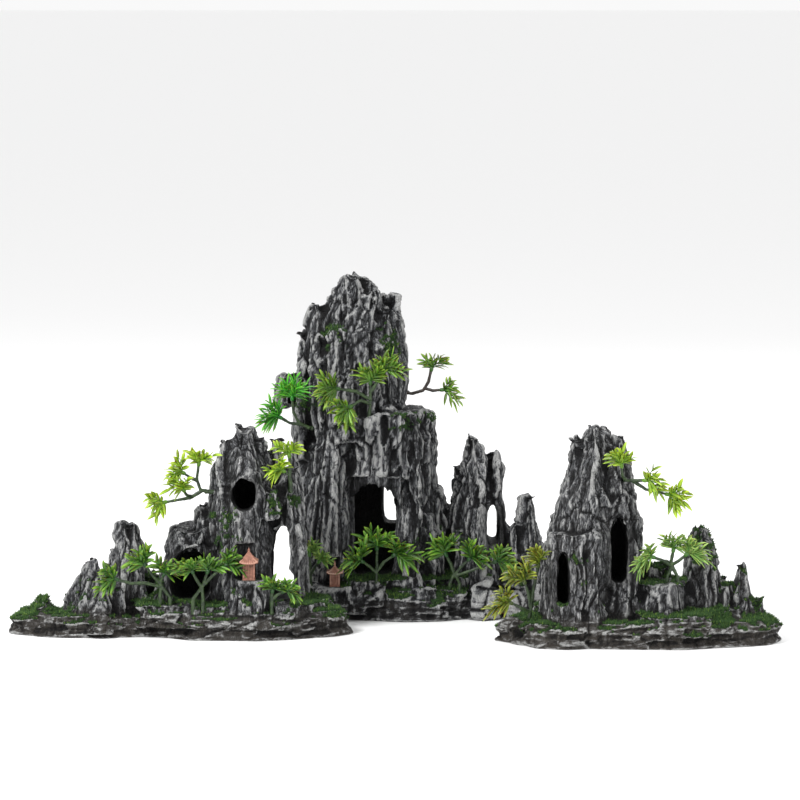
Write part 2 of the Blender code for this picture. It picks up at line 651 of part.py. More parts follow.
def right_island(paint):
    """The right-hand island: a domed peak with a slit and a side cave, a terrace and small peaks."""
    rock = Casting("right_island", RIGHT_SIZE, RIGHT_PLACE, paint)
    rock.slab((0.005, 0.0), (0.525, 0.50), 0.110, sides=24)
    rock.slab((-0.250, -0.16), (0.17, 0.34), 0.105, sides=16)
    rock.crag(
        (0.03, 0.02, 0.05), (0.03, 0.05, 0.165), (0.40, 0.42), (0.35, 0.33), sides=16, rings=2, jag=0.01
    )
    rock.crag(
        (-0.146, 0.08, 0.05), (-0.146, 0.06, 1.0), (0.172, 0.42), (0.032, 0.12),
        bulge=3.0, sides=14, rings=6,
    )
    rock.crag((-0.215, 0.05, 0.40), (-0.217, 0.05, 0.955), (0.075, 0.28), (0.022, 0.09), bulge=1.6)
    rock.crag((-0.060, 0.05, 0.40), (-0.076, 0.06, 0.948), (0.082, 0.30), (0.027, 0.10), bulge=1.6)
    # The front block over the side cave, with its outer jamb.
    rock.crag(
        (-0.236, -0.22, 0.05), (-0.236, -0.19, 0.52), (0.085, 0.20), (0.074, 0.17),
        sides=12, rings=4, jag=0.01,
    )
    rock.crag(
        (-0.170, -0.27, 0.04), (-0.185, -0.20, 0.50), (0.072, 0.17), (0.045, 0.13), sides=10, rings=4
    )
    rock.crag(
        (-0.308, -0.10, 0.05), (-0.300, -0.08, 0.48), (0.034, 0.17), (0.024, 0.12), sides=8, rings=4
    )
    # The terrace and the peaks to the right of it.
    rock.crag(
        (0.062, -0.04, 0.06), (0.062, -0.02, 0.285), (0.125, 0.28), (0.110, 0.22),
        sides=12, rings=3, jag=0.01,
    )
    rock.crag(
        (0.10, -0.30, 0.05), (0.10, -0.28, 0.155), (0.15, 0.17), (0.13, 0.13), sides=12, rings=2, jag=0.01
    )
    rock.crag((0.05, 0.22, 0.05), (0.05, 0.22, 0.370), (0.10, 0.17), (0.06, 0.09), sides=8, rings=3)
    rock.crag(
        (0.215, 0.10, 0.05), (0.207, 0.10, 0.543), (0.085, 0.30), (0.022, 0.09),
        bulge=1.4, sides=12, rings=6,
    )
    rock.crag((0.290, 0.06, 0.05), (0.290, 0.06, 0.300), (0.060, 0.24), (0.024, 0.10), sides=8, rings=3)
    rock.crag((0.350, 0.06, 0.05), (0.345, 0.06, 0.380), (0.062, 0.24), (0.014, 0.06), sides=8, rings=3)
    rock.crag((0.402, 0.04, 0.05), (0.406, 0.04, 0.215), (0.045, 0.18), (0.014, 0.06), sides=8, rings=3)
    rock.tunnel((-0.0774, 0.285), SLIT_CAVE, -0.70, 0.14, narrowing=0.9)
    rock.tunnel((-0.266, 0.19), SIDE_CAVE, -0.70, 0.02, narrowing=0.9)
    rock.chamber((-0.130, 0.06, 0.36), (0.020, 0.012, 0.022))
    rock.chamber((-0.205, 0.02, 0.32), (0.016, 0.012, 0.020))
    rock.cast()
    return rock


def mm(*points):
    """Limb points written in millimetres, as metres."""
    return [tuple(value / 1000 for value in point) for point in points]


def plant_left(rock, paints):
    """The plants of the left range."""
    plug_in("cliff_tree", rock, (-0.2, -0.02, 0.665), (1, 0, 0), [
        mm((2, 0, 0), (-9, -1, 2), (-12, -2, 12), (-10, -3, 27)),
        mm((-8, -1, 1), (-18, -2, -5), (-42, -4, -9)),
        mm((-11.3, -2, 10), (-18, -5, 14), (-25, -8, 19)),
        mm((-16, -2, -4), (-21, -7, -2), (-24, -11, 4)),
    ], paints)
    plug_in("twin_leg_tree", rock, (-0.05, -0.29, 0.45), (0, 0, -1), [
        mm((-3, 0, 14), (-4, 0, 20), (0, -5, 29)),
        mm((-4, 0, 16), (-18, -4, 20), (-30, -6, 20), (-44, -7, 24)),
        mm((-3.8, 0, 18), (-11, 0, 26), (-18, -3, 37)),
    ], paints, legs=2)
    plug_in("rim_tree", rock, (0.045, -0.36, 0.3), (0, 0, -1), [
        mm((2, 0, 14), (5, 0, 20), (9, 0, 32)),
        mm((3, 0, 17), (-1, -3, 24), (-5, -7, 33)),
        mm((4, 0, 18), (14, 0, 28), (26, -1, 38)),
    ], paints, legs=2)
    plug_in("ledge_fern", rock, (0.255, -0.40, 0.5), (0, 0, -1), [
        mm((0, 0, -1), (0, -1, 8), (1, -3, 15)),
        mm((0, -0.5, 5), (5, -2, 10), (12, -4, 14)),
    ], paints)
    plug_in("crest_fern", rock, (0.305, 0.0, 1.1), (0, 0, -1), [
        mm((0, 0, -1), (-1, -1, 8), (-7, -6, 13)),
        mm((-0.7, -0.5, 6), (0, -1, 16), (-1, -2, 27)),
    ], paints)


def plant_main(rock, paints):
    """The plants of the main mountain."""
    plug_in("summit_tree", rock, (-0.20, -0.365, 0.9), (0, 0, -1), [
        mm((0, 0, -1), (1, -1, 14), (1, -3, 33)),
        mm((1, -2, 22), (7, -4, 32), (14, -6, 43)),
        mm((1, -1.5, 16), (-12, -6, 24), (-30, -10, 27)),
        mm((1, -1, 12), (-8, -8, 16), (-18, -14, 10)),
    ], paints)
    plug_in("outer_tree", rock, (0.3, 0.02, 0.635), (-1, 0, 0), [
        mm((-2, 0, 0), (8, 0, -1), (18, -1, 2), (23, -2, 10), (26, -3, 23)),
        mm((19, -1, 4), (27, -3, 2), (37, -5, 3)),
    ], paints)
    plug_in("bright_tree", rock, (-0.425, -0.7, 0.54), (0, 1, 0), [
        mm((0, 1, 0), (-3, -7, 1), (-12, -11, 6), (-17, -12, 16), (-18, -13, 30)),
        mm((-8, -9.5, 4), (-20, -13, 6), (-30, -15, 12)),
    ], paints)
    plug_in("ledge_bush", rock, (-0.43, -0.40, 0.4), (0, 0, -1), [
        mm((0, 0, -1), (0, -1, 16), (-1, -2, 30)),
        mm((0, -0.7, 10), (4, -4, 18), (9, -6, 24)),
    ], paints)
    plug_in("cave_fern", rock, (-0.175, -0.385, 0.3), (0, 0, -1), [
        mm((0, 0, -1), (1, -1, 14), (1, -3, 31)),
        mm((0.5, -0.5, 8), (8, -4, 18), (18, -7, 25)),
        mm((0.4, -0.5, 7), (-6, -7, 14), (-13, -14, 20)),
    ], paints)
    plug_in("meadow_fern", rock, (0.135, -0.30, 0.3), (0, 0, -1), [
        mm((0, 0, 12), (-3, -1, 22), (-9, -3, 34)),
        mm((0, 0, 14), (6, -2, 22), (14, -5, 30)),
        mm((0.5, 0, 13), (18, -6, 20), (38, -10, 28)),
    ], paints, legs=2)


def plant_right(rock, paints):
    """The plants of the right island."""
    plug_in("shore_fern", rock, (-0.375, -0.16, 0.5), (0, 0, -1), [
        mm((0, 0, -1), (3, -1, 26), (8, -2, 50)),
        mm((1, -0.3, 12), (-1, -3, 24), (-5, -6, 36)),
        mm((0.5, -0.3, 7), (-8, -6, 12), (-18, -9, 17)),
    ], paints)
    plug_in("peak_tree", rock, (-0.055, -0.8, 0.745), (0, 1, 0), [
        mm((0, 1, 0), (0, -5, 0), (-3, -10, 5), (-4, -13, 15)),
        mm((0, -4, 0), (8, -9, 0), (18, -15, 1)),
        mm((6, -7.8, 0), (18, -8, -8), (38, -12, -12)),
    ], paints)
    plug_in("terrace_tree", rock, (0.105, -0.16, 0.8), (0, 0, -1), [
        mm((-0.5, 0, 12), (-1, 0, 20), (1, -1, 31)),
        mm((-0.5, 0, 15), (-9, -5, 21), (-19, -10, 25)),
        mm((-0.8, 0, 16), (5, -3, 20), (13, -5, 27)),
    ], paints, legs=2)


def centre_on_origin():
    """Moves the whole set so that the middle of its box stands on the origin."""
    bpy.context.view_layer.update()
    shown = [o for o in bpy.data.objects if o.type == "MESH"]
    corners = [o.matrix_world @ v.co for o in shown for v in o.data.vertices]
    middle = [(min(c[k] for c in corners) + max(c[k] for c in corners)) / 2 for k in range(2)]
    shift = Matrix.Translation((-middle[0], -middle[1], 0))
    for item in shown:
        item.data.transform(shift)


def main():
    for item in list(bpy.data.objects):
        bpy.data.objects.remove(item)
    resin = material("resin_rock", (0.20, 0.20, 0.21), 0.85)
    stem = material("stem_plastic", (0.03, 0.10, 0.03), 0.5)
    leaf = material("leaf_plastic", (0.16, 0.42, 0.05), 0.45)
    clay = material("pavilion_resin", (0.55, 0.27, 0.18), 0.8)
    left, central, right = left_range(resin), main_mountain(resin), right_island(resin)
    set_pavilion("left_pavilion", left, (0.190, -0.36, 0.5), LEFT_PAVILION, clay)
    set_pavilion("main_pavilion", central, (-0.335, -0.40, 0.3), MAIN_PAVILION, clay)
    plant_left(left, (stem, leaf))
    plant_main(central, (stem, leaf))
    plant_right(right, (stem, leaf))
    centre_on_origin()


main()
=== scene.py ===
import json
from math import pi, radians

import bmesh
import bpy
import numpy as np
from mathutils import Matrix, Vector
from mathutils.bvhtree import BVHTree

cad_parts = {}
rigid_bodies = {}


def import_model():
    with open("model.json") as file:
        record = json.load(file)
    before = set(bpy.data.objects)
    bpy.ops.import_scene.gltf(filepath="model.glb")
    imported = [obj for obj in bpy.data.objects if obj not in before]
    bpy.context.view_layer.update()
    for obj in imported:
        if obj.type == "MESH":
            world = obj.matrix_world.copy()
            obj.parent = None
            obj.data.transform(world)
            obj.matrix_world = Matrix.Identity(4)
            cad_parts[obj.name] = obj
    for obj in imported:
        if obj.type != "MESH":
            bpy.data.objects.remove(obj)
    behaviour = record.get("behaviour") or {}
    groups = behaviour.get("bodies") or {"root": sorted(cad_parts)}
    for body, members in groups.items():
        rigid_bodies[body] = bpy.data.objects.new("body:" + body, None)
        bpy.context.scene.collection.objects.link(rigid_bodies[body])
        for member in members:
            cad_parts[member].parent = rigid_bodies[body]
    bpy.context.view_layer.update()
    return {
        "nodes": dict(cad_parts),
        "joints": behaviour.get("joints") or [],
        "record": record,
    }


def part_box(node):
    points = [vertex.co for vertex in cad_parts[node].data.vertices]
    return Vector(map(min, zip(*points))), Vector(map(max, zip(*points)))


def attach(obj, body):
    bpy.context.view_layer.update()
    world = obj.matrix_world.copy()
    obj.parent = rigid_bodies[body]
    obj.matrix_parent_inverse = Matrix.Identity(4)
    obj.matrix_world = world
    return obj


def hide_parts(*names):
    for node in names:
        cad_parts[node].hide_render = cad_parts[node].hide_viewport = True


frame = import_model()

openings = {row["name"]: np.array(row["box_m"]) for row in frame["record"]["physics"]["openings"]}


def scatter(cells, seed):  # a repeatable random number from -1 to 1 for each whole-number cell
    mixed = cells[:, 0] * 374761393 + cells[:, 1] * 668265263 + cells[:, 2] * 1274126177 + seed * 974634777
    mixed = (mixed ^ (mixed >> 13)) * 1103515245 & 0x7FFFFFFF
    mixed = (mixed ^ (mixed >> 15)) * 1597334677 & 0x7FFFFFFF
    return mixed / 0x3FFFFFFF - 1


def wander(points, seed):  # smooth noise: random numbers at the corners of a lattice, eased across each cell
    cell = np.floor(points).astype(np.int64)
    part = points - cell
    ease = part**3 * (part * (part * 6 - 15) + 10)  # six fifth powers, less fifteen fourths, plus ten cubes
    total = np.zeros(len(points))
    for corner in range(8):
        step = np.array([corner & 1, corner >> 1 & 1, corner >> 2])
        total += np.prod(np.where(step, ease, 1 - ease), axis=1) * scatter(cell + step, seed)
    return total


def crest(points, seed):  # 1 along sharp crests where the smooth noise crosses zero, falling to 0 beside them
    return np.clip(1 - np.abs(wander(points, seed)) * 2.4, 0, 1)


def blocks(points, seed):  # irregular blocks, each round one random point in a cell
    cell = np.floor(points).astype(np.int64)
    first = np.full(len(points), 9.0)
    second = first.copy()
    owner = np.zeros(len(points))
    for step in np.ndindex(3, 3, 3):
        near = cell + np.array(step) - 1
        centre = near + 0.5 + 0.42 * np.stack([scatter(near, seed + axis) for axis in range(3)], axis=1)
        away = np.linalg.norm(points - centre, axis=1)
        closer = away < first
        second = np.where(closer, first, np.minimum(second, away))
        owner = np.where(closer, scatter(near, seed + 5), owner)
        first = np.minimum(first, away)
    return owner, second - first  # each block's own number, and how far inside its edge a point is


def ramp(values, low, high):  # 0 to 1 from low to high, as three squares of the share less two of its cubes
    share = np.clip((values - low) / (high - low), 0, 1)
    return share * share * (3 - 2 * share)


def unit(vectors):
    return vectors / np.maximum(np.linalg.norm(vectors, axis=-1, keepdims=True), 1e-9)


def awayFromBox(points, box):  # distance of each point outside a box, 0 inside
    return np.linalg.norm(np.maximum(np.maximum(box[0] - points, points - box[1]), 0), axis=1)


def linked(name, data):  # a new object in the scene
    made = bpy.data.objects.new(name, data)
    bpy.context.scene.collection.objects.link(made)
    return made


def meshOf(name, points, faces):
    mesh = bpy.data.meshes.new(name)
    mesh.from_pydata(points, [], faces)
    mesh.shade_smooth()
    return mesh


def pieceOf(name, mesh, paint, body, slot, *nodes):  # gives a piece its paint and its body, and hides the CAD nodes it stands in for
    piece = linked(name, mesh)
    mesh.materials.clear()
    mesh.materials.append(paint)
    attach(piece, body)
    if nodes:
        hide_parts(*nodes)


def reshape(mesh, points):
    mesh.vertices.foreach_set("co", points.ravel())
    mesh.update()


def bandFaces(rings, sides):  # the quads that join each ring of points to the next
    row = np.arange(rings - 1)[:, None] * sides
    turn = np.arange(sides)[None, :]
    ahead = (turn + 1) % sides
    return np.stack([row + turn, row + ahead, row + sides + ahead, row + sides + turn], axis=2).reshape(-1, 4)


def tubeFaces(rings, sides):  # the same, closed at both ends
    start = (rings - 1) * sides
    ends = [list(range(sides - 1, -1, -1)), list(range(start, start + sides))]
    return bandFaces(rings, sides).tolist() + ends


def joined(bodies):  # the points and faces of many bodies as one set
    faces, start = [], 0
    for points, around in bodies:
        faces += [[start + corner for corner in face] for face in around]
        start += len(points)
    return np.concatenate([points for points, _ in bodies]), faces


def attribute(mesh, name, values):
    mesh.attributes.new(name, "FLOAT", "POINT").data.foreach_set("value", np.asarray(values, np.float32))


def read(items, field, width, kind=np.float64):
    values = np.empty(len(items) * width, kind)
    items.foreach_get(field, values)
    return values.reshape(-1, width)


def remeshed(node, voxel):  # an even skin over a CAD solid, as a new mesh
    mesh = frame["nodes"][node].data.copy()
    shape = bmesh.new()
    shape.from_mesh(mesh)
    bmesh.ops.remove_doubles(shape, verts=shape.verts, dist=1e-6)
    shape.to_mesh(mesh)
    shape.free()
    holder = linked("holder", mesh)
    skin = holder.modifiers.new("skin", "REMESH")
    skin.mode = "VOXEL"
    skin.voxel_size = voxel
    graph = bpy.context.evaluated_depsgraph_get()
    made = bpy.data.meshes.new_from_object(holder.evaluated_get(graph))
    bpy.data.objects.remove(holder)
    bpy.data.meshes.remove(mesh)
    made.shade_smooth()
    return made


def treeOf(mesh):  # a mesh made ready for ray casts and overlap tests
    points = read(mesh.vertices, "co", 3)
    return BVHTree.FromPolygons(points.tolist(), [face.vertices[:] for face in mesh.polygons])


def neighbourMean(points, edges, rounds):  # moves each point to the mean of its neighbours, again and again
    count = np.bincount(edges.ravel(), minlength=len(points))[:, None]
    for _ in range(rounds):
        total = np.zeros_like(points)
        for axis in range(3):
            total[:, axis] = np.bincount(edges[:, 0], points[edges[:, 1], axis], len(points))
            total[:, axis] += np.bincount(edges[:, 1], points[edges[:, 0], axis], len(points))
        points = total / np.maximum(count, 1)
    return points


def newPaint(name):
    paint = bpy.data.materials.new(name)
    paint.use_nodes = True
    return paint, paint.node_tree, paint.node_tree.nodes["Principled BSDF"]


def put(tree, kind, inputs=(), **settings):  # adds a shader node; an input may be another node's output
    node = tree.nodes.new("ShaderNode" + kind)
    for name, value in settings.items():
        setattr(node, name, value)
    for name, value in dict(inputs).items():
        if isinstance(value, bpy.types.NodeSocket):
            tree.links.new(value, node.inputs[name])
        else:
            node.inputs[name].default_value = value
    return node


def speckle(tree, where, scale, detail=3.0, roughness=0.55):
    inputs = {"Vector": where, "Scale": scale, "Detail": detail, "Roughness": roughness}
    return put(tree, "TexNoise", inputs).outputs["Fac"]


def maths(tree, operation, first, second=0.0, third=0.0):
    return put(tree, "Math", {0: first, 1: second, 2: third}, operation=operation).outputs[0]


def times(tree, value, share):
    return maths(tree, "MULTIPLY", value, share)


def plus(tree, value, share, rest):  # the value times the share, plus the rest
    return maths(tree, "MULTIPLY_ADD", value, share, rest)


def between(tree, value, low, high):  # 0 to 1 as value goes from low to high, eased
    inputs = {"Value": value, "From Min": low, "From Max": high}
    return put(tree, "MapRange", inputs, interpolation_type="SMOOTHSTEP").outputs["Result"]


def blended(tree, share, first, second):  # one colour turning to another
    inputs = {0: share, 6: first, 7: second}
    return put(tree, "Mix", inputs, data_type="RGBA").outputs[2]


def grown(tree, name):  # a number kept on the mesh's points
    return put(tree, "Attribute", attribute_name=name).outputs["Fac"]


def roughen(tree, shader, height, strength, distance):
    bump = put(tree, "Bump", {"Height": height, "Strength": strength, "Distance": distance})
    tree.links.new(bump.outputs[0], shader.inputs["Normal"])


rockLooks = {  # colours, then how many cells of each pattern to the metre, and the bump's depth
    "charcoal": (0.005, 0.005, 0.006, 1), "slate": (0.050, 0.052, 0.056, 1), "ash": (0.190, 0.195, 0.205, 1),
    # the near-black colour after umber is painted shadow, laid inside each opening
    "chalk": (0.62, 0.62, 0.61, 1), "umber": (0.105, 0.088, 0.068, 1), "soot": (0.002, 0.002, 0.002, 1),
    "mossDeep": (0.006, 0.018, 0.004, 1), "mossPale": (0.034, 0.085, 0.014, 1),
    "plates": 520, "fibres": 640, "beds": 560, "mottle": 55, "grit": 1300, "flock": 900, "bump": 0.0058,
}


def rockPaint(name, warmth):
    looks = rockLooks
    paint, tree, shader = newPaint(name)
    where = put(tree, "TexCoord").outputs["Object"]
    drift = put(tree, "TexNoise", {"Vector": where, "Scale": 60, "Detail": 2}).outputs["Color"]
    drift = put(tree, "VectorMath", {0: drift, 3: 0.010}, operation="SCALE").outputs[0]
    moved = put(tree, "VectorMath", {0: where, 1: drift}, operation="ADD").outputs[0]
    tall = put(tree, "Mapping", {"Vector": moved, "Scale": (1, 1, 0.18)}).outputs[0]
    level = put(tree, "Mapping", {"Vector": moved, "Scale": (0.2, 0.2, 1)}).outputs[0]
    base, cave, moss = grown(tree, "base"), grown(tree, "cave"), grown(tree, "moss")
    ridge, hollow, pale = grown(tree, "ridge"), grown(tree, "hollow"), grown(tree, "pale")
    plate = put(tree, "TexVoronoi", {"Vector": tall, "Scale": looks["plates"]}, feature="DISTANCE_TO_EDGE")
    split = between(tree, plate.outputs["Distance"], 0.0, 0.16)
    fibre = speckle(tree, tall, looks["fibres"], 5, 0.64)
    bed = speckle(tree, level, looks["beds"], 5, 0.64)
    grain = put(tree, "Mix", {0: base, 2: fibre, 3: bed}, data_type="FLOAT").outputs[0]
    mottle = speckle(tree, where, looks["mottle"], 4, 0.6)
    grit = speckle(tree, where, looks["grit"], 3, 0.6)

    tone = plus(tree, ridge, 0.80, times(tree, mottle, 0.40))
    tone = plus(tree, grain, 1.90, maths(tree, "SUBTRACT", tone, 1.22))
    tone = plus(tree, split, 0.20, tone)
    tone = plus(tree, pale, 0.22, plus(tree, base, -0.10, tone))  # ridges, grain and pale spots are lighter
    colour = blended(tree, between(tree, tone, 0.12, 0.44), looks["charcoal"], looks["slate"])
    colour = blended(tree, between(tree, tone, 0.38, 0.74), colour, looks["ash"])
    stain = plus(tree, base, 0.35, plus(tree, mottle, 0.6, warmth - 0.25))
    colour = blended(tree, times(tree, between(tree, stain, 0.2, 0.9), 0.55), colour, looks["umber"])
    brushed = plus(tree, mottle, 0.3, times(tree, ridge, 1.5))  # a dry brush of chalk on the ridges
    brushed = plus(tree, grain, 2.10, brushed)
    brushed = plus(tree, grit, 0.35, plus(tree, pale, 0.2, brushed))
    colour = blended(tree, times(tree, between(tree, brushed, 2.28, 2.98), 0.9), colour, looks["chalk"])
    # the hollows turn to charcoal: the dark paint left in them, deepened with painted shade
    colour = blended(tree, times(tree, hollow, 0.92), colour, looks["charcoal"])

    flock = speckle(tree, where, looks["flock"], 3, 0.7)
    green = blended(tree, between(tree, flock, 0.38, 0.66), looks["mossDeep"], looks["mossPale"])
    covered = plus(tree, flock, 0.5, maths(tree, "SUBTRACT", moss, 0.25))
    colour = blended(tree, between(tree, covered, 0.26, 0.56), colour, green)
    # painted shadow: the rock turns near black inside each opening, deepening from the mouth to the back
    colour = blended(tree, cave, colour, looks["soot"])
    tree.links.new(colour, shader.inputs["Base Color"])
    tree.links.new(plus(tree, grit, 0.25, 0.52), shader.inputs["Roughness"])
    shader.inputs["Specular IOR Level"].default_value = 0.35
    roughen(tree, shader, plus(tree, grit, 0.22, plus(tree, split, 0.35, grain)), 1.0, looks["bump"])
    return paint


def shareOf(points, values):  # where points are in the casting's box, 0 to 1 along each side
    low, high = values["box"]
    return (points - low) / (high - low)


def nearSpot(share, centre, radii, solid, edge):  # 1 inside an ellipsoid, 0 outside it
    return 1 - ramp(np.linalg.norm((share - centre) / radii, axis=1), solid, edge)


def mossOn(points, normals, pale, values):  # flock where low rock faces up, and in chosen spots
    share = shareOf(points, values)
    up = normals[:, 2]
    patchy = wander(points / 0.017, 71) * 0.5 + wander(points / 0.006, 72) * 0.35
    ground = ramp(up, 0.35, 0.75) * (1 - ramp(points[:, 2], values["mossTop"] - 0.015, values["mossTop"]))
    moss = ground * ramp(patchy, -0.42, -0.05) * ramp(points[:, 2], 0.008, 0.014)
    for centre, radii, strength in values["mossSpots"]:
        near = nearSpot(share, centre, radii, 0.5, 1.0)
        broken = wander(points / 0.0042, 73) * 0.6 + wander(points / 0.0021, 74) * 0.4 + up * 0.45
        broken = ramp(broken, -0.10, 0.35)
        thick = ramp(patchy + up * 0.4, -0.30, 0.15)
        moss = np.maximum(moss, strength * near * broken * thick)
    return moss * (1 - 0.8 * np.clip(pale, 0, 1))


def finDepth(points, values):  # crests of noise drawn out in height, over blocks that step in and out
    seed = values["seed"]
    broad = crest(points / (0.024, 0.024, 0.150), seed)
    middle = crest(points / (0.0100, 0.0100, 0.055), seed + 1)
    fine = crest(points / (0.0050, 0.0050, 0.022), seed + 2)
    chunk, chunkEdge = blocks(points / (0.016, 0.016, 0.060), seed + 3)
    chip, chipEdge = blocks(points / (0.0075, 0.0075, 0.017), seed + 9)
    depth = values["fins"] * (broad - 0.45) + values["ribs"] * (middle - 0.45)
    depth += values["threads"] * (fine - 0.4)
    depth += values["chunks"] * chunk - values["cracks"] * np.exp(-chunkEdge / 0.07)
    depth += values["chips"] * chip - values["cracks"] * 0.35 * np.exp(-chipEdge / 0.08)
    return depth


def bedDepth(points, values):  # the level beds of a foot, with joints between their slabs
    strata = crest(points / (0.024, 0.024, 0.0052), values["seed"] + 20)
    slab, slabEdge = blocks(points / (0.021, 0.021, 0.0065), values["seed"] + 21)
    depth = values["layers"] * (strata - 0.5) + values["layers"] * 0.8 * slab
    return depth - 0.0009 * np.exp(-slabEdge / 0.1)


def heldBack(points):  # less relief beside the openings, under the pavilions and at the floor
    hold = np.ones(len(points))
    for box in openings.values():
        hold = np.minimum(hold, 0.30 + 0.70 * ramp(awayFromBox(points, box), 0.002, 0.014))
    for name in ("left_pavilion", "main_pavilion"):
        away = awayFromBox(points, np.array(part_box(name)))
        hold = np.minimum(hold, 0.12 + 0.88 * ramp(away, 0.002, 0.010))
    return hold * (ramp(points[:, 2], 0.0, 0.004) * 0.9 + 0.1)


def caveShade(points):  # the painted cave shadow's strength: 0 at the mouth of an opening, 1 from its middle to its back
    cave = np.zeros(len(points))
    for low, high in openings.values():
        room = np.array([low - (0.004, -0.004, 0.004), high + (0.004, 0.012, 0.004)])
        inside = 1 - ramp(awayFromBox(points, room), 0.001, 0.008)
        cave = np.maximum(cave, inside * ramp(points[:, 1], low[1] + 0.001, (low[1] + high[1]) / 2))
    return cave


def markWearAndShade(mesh, points, normals, edges):  # how far each point stands out from the mean of its surroundings: the ridges take the chalk dry brush, the hollows the dark base coat deepened with painted shade
    near = neighbourMean(points, edges, 3)
    wide = neighbourMean(near, edges, 14)
    proud = np.sum((points - near) * normals, axis=1) / 0.0006
    stands = np.sum((points - wide) * normals, axis=1) / 0.0022
    attribute(mesh, "ridge", np.clip(0.45 + 0.32 * np.tanh(proud) + 0.32 * np.tanh(stands), 0, 1))
    attribute(mesh, "hollow", ramp(-(proud * 0.45 + stands * 0.75), 0.10, 1.1))


def carveRock(node, values):  # the CAD casting as an even skin, moved out and in along its normals
    mesh = remeshed(node, values["voxel"])
    points = read(mesh.vertices, "co", 3)
    edges = read(mesh.edges, "vertices", 2, np.int32)
    points = points * 0.4 + neighbourMean(points, edges, 1) * 0.6
    reshape(mesh, points)
    normals = read(mesh.vertices, "normal", 3)
    soft = neighbourMean(points, edges, 30)
    tight = 1 - ramp(np.linalg.norm(points - soft, axis=1), 0.0020, 0.0045)  # 0 on thin tips
    points = points + (soft - points) * (0.75 * (1 - tight))[:, None]

    drift = np.stack([wander(points / 0.030, 11 + axis) for axis in range(3)], axis=1)
    drift = drift * (0.0035, 0.0035, 0.016)
    low = 1 - ramp(points[:, 2], values["baseTop"] - 0.008, values["baseTop"] + 0.008)
    wall = 1 - ramp(np.abs(normals[:, 2]), 0.5, 0.95)
    beds = bedDepth(points + drift * (0.5, 0.5, 0.06), values)
    depth = finDepth(points + drift, values) * (1 - low * 0.75) + beds * low * wall

    share = shareOf(points, values)
    pale = np.zeros(len(points))
    for centre, radii, strength in values["paleSpots"]:
        pale = np.maximum(pale, strength * nearSpot(share, centre, radii, 0.6, 1.1))
    boulder, boulderEdge = blocks(points / 0.023, values["seed"] + 30)
    heap = ramp(pale, 0.9, 1.2)
    depth = depth * (1 - heap * 0.8) + heap * (0.0050 * boulder - 0.0042 * np.exp(-boulderEdge / 0.16))
    depth *= 0.25 + 0.75 * tight

    flat = ramp(normals[:, 2], 0.55, 0.95)
    out = unit(normals * (1, 1, 0.35))
    shaped = points + out * (depth * heldBack(points) * (1 - 0.55 * flat))[:, None]
    shaped[:, 2] = np.maximum(shaped[:, 2], 0)
    reshape(mesh, shaped)
    normals = read(mesh.vertices, "normal", 3)
    cave = caveShade(shaped)
    moss = mossOn(shaped, normals, pale, values) * (1 - cave)
    markWearAndShade(mesh, shaped, normals, edges)
    for name, numbers in (("pale", pale), ("cave", cave), ("base", low), ("moss", moss)):
        attribute(mesh, name, numbers)
    print(node, len(mesh.polygons), "faces")
    return mesh, shaped, normals, moss


tuftLooks = {"count": 16000, "tall": (0.0012, 0.0034), "wide": 0.00055, "seed": 5}


def tufts(points, normals, moss):  # tiny closed spikes, three corners on the rock and one standing up
    looks = tuftLooks
    random = np.random.default_rng(looks["seed"])
    mossy = np.flatnonzero(moss > 0.45)
    picked = random.choice(mossy, min(looks["count"], len(mossy) * 3))
    spread = random.normal(size=(len(picked), 3))
    up = unit(normals[picked] + (0, 0, 0.6) + spread * 0.45)
    side = unit(np.cross(up, spread))
    other = np.cross(up, side)
    foot = points[picked] + side * random.uniform(-0.0008, 0.0008, (len(picked), 1)) - up * 0.0003
    tall = random.uniform(*looks["tall"], (len(picked), 1)) * (0.6 + 0.6 * moss[picked])[:, None]
    wide = looks["wide"]
    arms = (side, other * 0.87 - side * 0.5, -(other * 0.87 + side * 0.5))
    corners = [foot + arm * wide for arm in arms]
    stack = np.stack(corners + [foot + up * tall], axis=1).reshape(-1, 3)
    start = np.arange(len(picked))[:, None, None] * 4
    faces = (start + np.array([[2, 1, 0], [0, 1, 3], [1, 2, 3], [2, 0, 3]])).reshape(-1, 3)
    mesh = meshOf("moss", stack, faces.tolist())
    attribute(mesh, "along", np.tile([0, 0, 0, 1], len(picked)))
    attribute(mesh, "tint", np.repeat(random.uniform(0, 1, len(picked)), 4))
    return mesh


mossLooks = {
    "deep": (0.006, 0.022, 0.004, 1), "pale": (0.040, 0.115, 0.014, 1), "gold": (0.13, 0.22, 0.03, 1),
}


def mossPaint():
    looks = mossLooks
    paint, tree, shader = newPaint("moss_flock")
    along, tint = grown(tree, "along"), grown(tree, "tint")
    share = plus(tree, along, 0.4, times(tree, tint, 0.45))
    colour = blended(tree, share, looks["deep"], looks["pale"])
    colour = blended(tree, between(tree, tint, 0.86, 0.98), colour, looks["gold"])
    tree.links.new(colour, shader.inputs["Base Color"])
    shader.inputs["Roughness"].default_value = 0.85
    return paint


leftRock = {  # depths and heights in metres; a spot is a centre, radii and a strength, as shares of the box
    "voxel": 0.0014, "seed": 100, "fins": 0.0042, "ribs": 0.0030, "threads": 0.0013, "chunks": 0.0016,
    "cracks": 0.0024, "chips": 0.0008, "layers": 0.0020, "baseTop": 0.024, "warmth": 0.25,
    "mossTop": 0.060, "box": np.array(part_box("left_range")),
    "paleSpots": [((0.42, 0.2, 0.75), (0.16, 0.6, 0.3), 0.45), ((0.28, 0.2, 0.35), (0.14, 0.6, 0.3), 0.35),
                  ((0.60, 0.0, 0.10), (0.30, 0.4, 0.05), 0.4)],
    "mossSpots": [((0.06, 0.4, 0.24), (0.14, 0.8, 0.18), 1.0), ((0.44, 0.2, 0.62), (0.10, 0.6, 0.16), 0.8),
                  ((0.63, 0.2, 0.48), (0.09, 0.7, 0.22), 0.75), ((0.80, 0.2, 0.62), (0.08, 0.7, 0.10), 0.9)],
}
